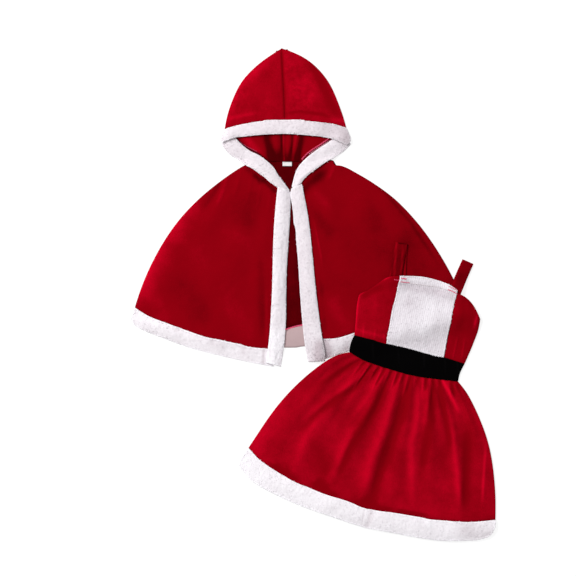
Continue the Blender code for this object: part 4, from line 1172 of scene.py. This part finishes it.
# %% Bodice front
BODICE_LEFT_CREASES = (
    (0.6, 3.4, 0.2, (348, 327), (362, 331), (376, 335), (396, 340)),
    (0.6, 2, 0.15, (362, 346), (363, 336), (364, 322)),
    (0.7, 2, 0.15, (374, 350), (374, 340), (375, 326)),
    (0.6, 2, 0.15, (384, 350), (384, 342), (384, 330)),
    (-0.4, 5, -0.4, (360, 300), (370, 291), (386, 286)),
    (0, 2.2, 0.6, (360, 286), (357, 304), (354, 336)),
    (0, 2, 0.6, (396, 274.5), (378, 281), (356, 297)),
    (0.8, 9, 0.15, (378, 300), (374, 322)),
)
BODICE_RIGHT_CREASES = (
    (0.9, 3, 0.55, (477, 300), (477, 314), (473, 332)),
    (0.7, 2, 0.15, (452, 362), (455, 348), (458, 334)),
    (0.7, 2, 0.15, (461, 362), (463, 350), (465, 336)),
    (-0.5, 6, -0.3, (460, 298), (463, 314), (460, 336)),
)
TOP_HEM = (
    (-0.7, 2.6, -0.26, (388, 283.4), (412, 285.6), (424.5, 287.8), (436, 290), (446, 292.6), (466, 300)),
    (1.3, 4.2, 0.12, (388, 278.6), (412, 280), (430, 282.8), (446, 287), (466, 296)),
    (0, 5, -0.46, (394, 286), (403, 287), (420, 290), (436, 293), (448, 297), (456, 300)),
    (0, 9, -0.22, (404, 300), (412, 304)),
    (0, 14, 0.3, (436, 296), (424, 322), (418, 344)),
    (0, 12, 0.2, (404, 322), (394, 350)),
)
LEFT_SEAM_IN = ((-1.2, 0, 10, (391, 312), (389, 322), (387, 334)),)
RIGHT_SEAM_IN = ((-0.9, 0, 7, (455, 294), (452.5, 312)),)
lay_sheet(
    "bodice_front_left", BODICE_LEFT_CREASES, VELVET, nap=0.20,
    pulls=((0.3, -1.8, 6, (359, 297)), *LEFT_SEAM_IN),
)
lay_sheet(
    "bodice_front_right", BODICE_RIGHT_CREASES, VELVET, nap=0.12, pulls=BODICE_SIDE_IN + RIGHT_SEAM_IN,
)
lay_sheet(
    "bodice_front_centre", TOP_HEM, PLUSH, material=plush_ribbed, nap=-0.17, roll=-0.4 * MM,
    reach=0.7 * MM, pulls=LEFT_SEAM_IN + RIGHT_SEAM_IN,
)

# %% [markdown]
# ## Small things that repeat
#
# A curl of the plush and a stitch of yarn each repeat hundreds of times. Each is
# modelled once: a ring is extruded, moved and scaled a few times into a small closed
# form. Its copies are then joined into one mesh, each turned and sized on its own.

# %% Model one curl and one stitch
def grow(name, sides, radius, rings):
    """A ring extruded step by step. Each step is (move, scale)."""
    bpy.ops.object.select_all(action="DESELECT")
    bpy.ops.mesh.primitive_circle_add(vertices=sides, radius=radius, fill_type="NGON", location=(0, 0, 0))
    piece = bpy.context.object
    piece.name = name
    bpy.ops.object.mode_set(mode="EDIT")
    bpy.ops.mesh.select_all(action="SELECT")
    at = Vector()
    for move, scale in rings:
        at += Vector(move)
        bpy.ops.mesh.extrude_region_move(TRANSFORM_OT_translate={"value": move})
        bpy.ops.transform.resize(value=(scale, scale, scale), center_override=at)
    bpy.ops.mesh.select_all(action="SELECT")
    bpy.ops.mesh.normals_make_consistent(inside=False)
    bpy.ops.object.mode_set(mode="OBJECT")
    shape = mesh_of(piece)
    bpy.data.objects.remove(piece)
    print(name, len(shape[1]), "faces")
    return shape


CURL = grow("curl", 3, 0.30, (((0.05, 0, 0.45), 1.0), ((0.30, 0, 0.35), 0.85), ((0.35, 0, 0.05), 0.45)))
STITCH = grow("stitch", 5, 0.15, (
    ((0.12, 0, 0.15), 1.7), ((0.05, 0, 0.35), 1.1), ((-0.05, 0, 0.35), 0.9), ((-0.12, 0, 0.15), 0.6),
))


# %% Join many copies into one mesh
# Painted highlight and shade on each curl: its tip is brighter, its root darker, on top of the sheet's own
# nap and painted light and shade where it stands.
TIP_HIGHLIGHT = 0.15  # how much brighter a copy is at its tip


def copies(shape, name, places, sideways, forwards, sizes, naps_and_shade, material):
    """Copies of shape: its x axis along sideways, its z axis along forwards."""
    points, faces = shape
    ahead = forwards / np.linalg.norm(forwards, axis=1)[:, None]
    side = sideways - (sideways * ahead).sum(1)[:, None] * ahead
    side /= np.linalg.norm(side, axis=1)[:, None]
    across = np.cross(ahead, side)
    turned = np.einsum("ka,nab->nkb", points, np.stack([side, across, ahead], axis=1))
    everything = (places[:, None] + sizes[:, None, None] * turned).reshape(-1, 3)
    everything[:, 2] = np.maximum(everything[:, 2], LAYER_GAP)
    bases = range(0, len(everything), len(points))
    mesh = bpy.data.meshes.new(name)
    mesh.from_pydata(everything, [], [tuple(base + i for i in face) for base in bases for face in faces])
    piece = bpy.data.objects.new(name, mesh)
    bpy.context.scene.collection.objects.link(piece)
    low, high = points[:, 2].min(), points[:, 2].max()
    paint_nap_and_shade(piece, (naps_and_shade[:, None] + TIP_HIGHLIGHT * (points[:, 2] - low) / (high - low)).ravel())
    mesh.materials.append(material)
    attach(piece, "root")
    print(f"{name}: {len(places)} copies, {len(mesh.polygons)} faces")
    return piece


# %% [markdown]
# ## Pile on the plush
#
# Most of the plush is its sheet, with its humps and its bump. The curls break up the
# outline and the seams, as pile does, so they stand close at the rims and sparse between
# them. They lean at random, and none is made where another piece lies on the plush.

# %% Curls on the plush that shows its right side
CURL_EVERY = 3.6 * MM * MM
CURL_SIZE = (1.0 * MM, 1.7 * MM)
CURL_ROOT = 0.2 * MM
CURL_FACES_UP = 0.1
CURL_LEAN = 0.75
LEAN_UP = 0.3  # share of the lean that goes up or down
LEAST_RISE = 0.15
RIM_OF_CURLS = 2.5 * MM
SHARE_BETWEEN = {"cape_trim_left": 0.3, "cape_trim_right": 0.4, "bodice_front_centre": 0.15}
USUAL_SHARE = 0.25
COVERED_PLUSH = ("skirt_hem_back",)
TINY_AREA = 1e-12
rng = np.random.default_rng(12)
everything_laid = tree_of([mesh_of(p) for p in sheets.values()], np.full(3, -SKY_HIGH), np.full(3, SKY_HIGH))


def pile(node):
    sheet = sheets[node]
    mesh = sheet.data
    mesh.calc_loop_triangles()
    corners = np.empty(len(mesh.loop_triangles) * 3, np.int32)
    mesh.loop_triangles.foreach_get("vertices", corners)
    corners = corners.reshape(-1, 3)
    nap = np.empty(len(mesh.vertices), np.float32)
    mesh.attributes["nap"].data.foreach_get("value", nap)
    trio = points_of(sheet)[corners]
    normals = np.cross(trio[:, 1] - trio[:, 0], trio[:, 2] - trio[:, 0])
    areas = np.linalg.norm(normals, axis=1) / 2
    normals /= np.maximum(2 * areas, TINY_AREA)[:, None]
    areas = areas * (normals[:, 2] > CURL_FACES_UP)
    count = int(areas.sum() / CURL_EVERY)
    chosen = rng.choice(len(areas), count, p=areas / areas.sum())
    weights = rng.dirichlet((1.0, 1.0, 1.0), count)
    places = (trio[chosen] * weights[:, :, None]).sum(1) - CURL_ROOT * normals[chosen]
    seen = heights_met(everything_laid, places + (0.0, 0.0, CURL_SIZE[0]), UP, -1.0) < 0.0
    first = corners[chosen, 0]
    at_rim = rim_distance[node][first % len(rim_distance[node])] < RIM_OF_CURLS
    seen &= at_rim | (rng.random(count) < SHARE_BETWEEN.get(node, USUAL_SHARE))
    ahead = normals[chosen] + rng.normal(0.0, CURL_LEAN, (count, 3)) * (1.0, 1.0, LEAN_UP)
    ahead[:, 2] = np.abs(ahead[:, 2]) + LEAST_RISE
    return copies(
        CURL, node + "_pile", places[seen], rng.normal(0.0, 1.0, (count, 3))[seen], ahead[seen],
        rng.uniform(*CURL_SIZE, count)[seen], nap[first][seen], mesh.materials[0],
    )


PLUSH_NODES = [
    n for n in LAYING_ORDER
    if n not in COVERED_PLUSH and sheets[n].data.materials[0] in (plush_white, plush_ribbed)
]
piles = {node: pile(node) for node in PLUSH_NODES}

# %% [markdown]
# ## Stitches
#
# Where the hood's bands are turned over, their inner edge shows the overlock, in pink
# and dark red yarn. It shows again on the top edge of the back hem and on the turned top
# of the bodice's centre. The label is sewn on with grey thread. Each stitch is dropped on
# the cloth below it. A row has its name, thread, style, step and length in millimetres,
# and the picture points that it runs along. It is listed with the sheet that it is part of.

# %% Rows of stitches
STITCH_ROWS = {
    "hood_left": (
        ("hood_overlock_left", "pink", "straight", 2.9, 1.8,
         (239.6, 141.2), (242.6, 143.6), (246.6, 146.4), (252.4, 149.4), (257, 151.6)),
        ("hood_overlock_left_inner", "red", "zigzag", 1.4, 2.2,
         (237, 138.8), (242, 143.4), (247.8, 147.9), (253.6, 151), (259.6, 154)),
    ),
    "hood_right": (
        ("hood_overlock_right_dashes", "pale", "straight", 3.6, 2.4,
         (332, 139.6), (325, 143.6), (319.2, 147.3), (313.6, 150.8), (308.2, 154.8)),
        ("hood_overlock_right", "pink", "zigzag", 2.1, 2.8,
         (328.9, 138.5), (323.8, 142.2), (318.4, 145.9), (313, 149.2), (307.6, 153.2), (302, 159.2)),
        ("hood_overlock_right_inner", "red", "zigzag", 1.8, 2,
         (331.2, 139.2), (325, 142.9), (319.2, 146.7), (313.6, 150.2), (308.2, 154.2), (303, 159.4)),
    ),
    "cape_hem_back": (
        ("back_hem_overlock", "pink", "zigzag", 1.6, 3,
         (285.6, 329.4), (290.4, 327.8), (296, 326.2), (302.6, 324.9)),
    ),
    "bodice_front_centre": (
        ("bodice_top_stitches_left", "pink", "zigzag", 2.3, 3,
         (400.6, 278.4), (406.4, 279)),
        ("bodice_top_stitches", "white", "straight", 3, 2.4,
         (406, 282.8), (424, 285.2), (436, 287), (447, 289.8)),
        ("bodice_top_stitches_right", "pink", "straight", 2.6, 2.6,
         (447, 289.6), (451, 291), (456, 293.8)),
        ("bodice_top_overlock", "pink", "straight", 2.6, 2.4,
         (400.2, 281.8), (405, 282.4), (410, 283)),
        ("bodice_top_overlock_right", "pink", "straight", 2.6, 2.4,
         (447.8, 286.2), (452, 288), (456.4, 290.6)),
    ),
    "bodice_front_left": (
        ("bodice_left_stitches", "pink", "zigzag", 2, 2.2,
         (393.6, 279.6), (399.6, 280.6)),
    ),
    "cape_label": (
        ("label_stitches", "grey", "straight", 1.2, 1,
         (282.9, 162.3), (287.5, 162.2), (292, 162.3)),
    ),
}
STITCH_LIFT = 0.15 * MM
STITCH_WOBBLE = 0.12
ZIGZAG_SLANT = 0.9
STEEPEST_STITCH = 0.4
ABOVE_ALL = 0.1


def walk(line, step):
    """Points every step along a line of picture points, and the way ahead at each."""
    corners, lengths = measured(line)
    marks = np.concatenate([[0.0], np.cumsum(lengths)])
    along = np.arange(0.5 * step, marks[-1], step)
    places = np.stack([np.interp(along, marks, corners[:, k]) for k in range(2)], axis=1)
    ways = np.gradient(places, axis=0)
    return places, ways / np.linalg.norm(ways, axis=1)[:, None]


def stitch_row(name, thread, style, step, length, *line):
    places, ways = walk(line, step * MM)
    length *= MM
    count = len(places)
    slant = ZIGZAG_SLANT * (np.arange(count) % 2 * 2 - 1) if style == "zigzag" else np.zeros(count)
    slant += rng.normal(0.0, STITCH_WOBBLE, count)
    turned = np.stack([
        ways[:, 0] * np.cos(slant) - ways[:, 1] * np.sin(slant),
        ways[:, 0] * np.sin(slant) + ways[:, 1] * np.cos(slant),
    ], axis=1)
    starts = places - 0.5 * length * turned
    heights = [
        heights_met(everything_laid, np.column_stack([ends, np.full(count, ABOVE_ALL)]), -UP, 0.0)
        for ends in (starts, starts + length * turned)
    ]
    rise = np.clip(heights[1] - heights[0], -STEEPEST_STITCH * length, STEEPEST_STITCH * length)
    ahead = np.column_stack([length * turned, rise])
    up = np.tile((0.0, 0.0, 1.0), (count, 1))
    base = np.column_stack([starts, heights[0] + STITCH_LIFT])
    sizes = np.full(count, length)
    return copies(STITCH, name, base, up, ahead, sizes, np.zeros(count), threads[thread])


stitches = {node: [stitch_row(*row) for row in rows] for node, rows in STITCH_ROWS.items()}

# %% [markdown]
# ## The cuts, counted
#
# The table near the top lists each piece of cloth with its cut, with how it is held and
# with what it rests on; here they are counted. The pile and the stitches are kept by their sheet.

print(len(CUTS), "sheets of cloth declared")

# %% Sizes of the pieces
pieces = [*sheets.values(), *piles.values(), *sum(stitches.values(), [])]
triangles = [sum(len(face.vertices) - 2 for face in piece.data.polygons) for piece in pieces]
print(len(pieces), "pieces, triangles:", sum(triangles), "most in one piece:", max(triangles))
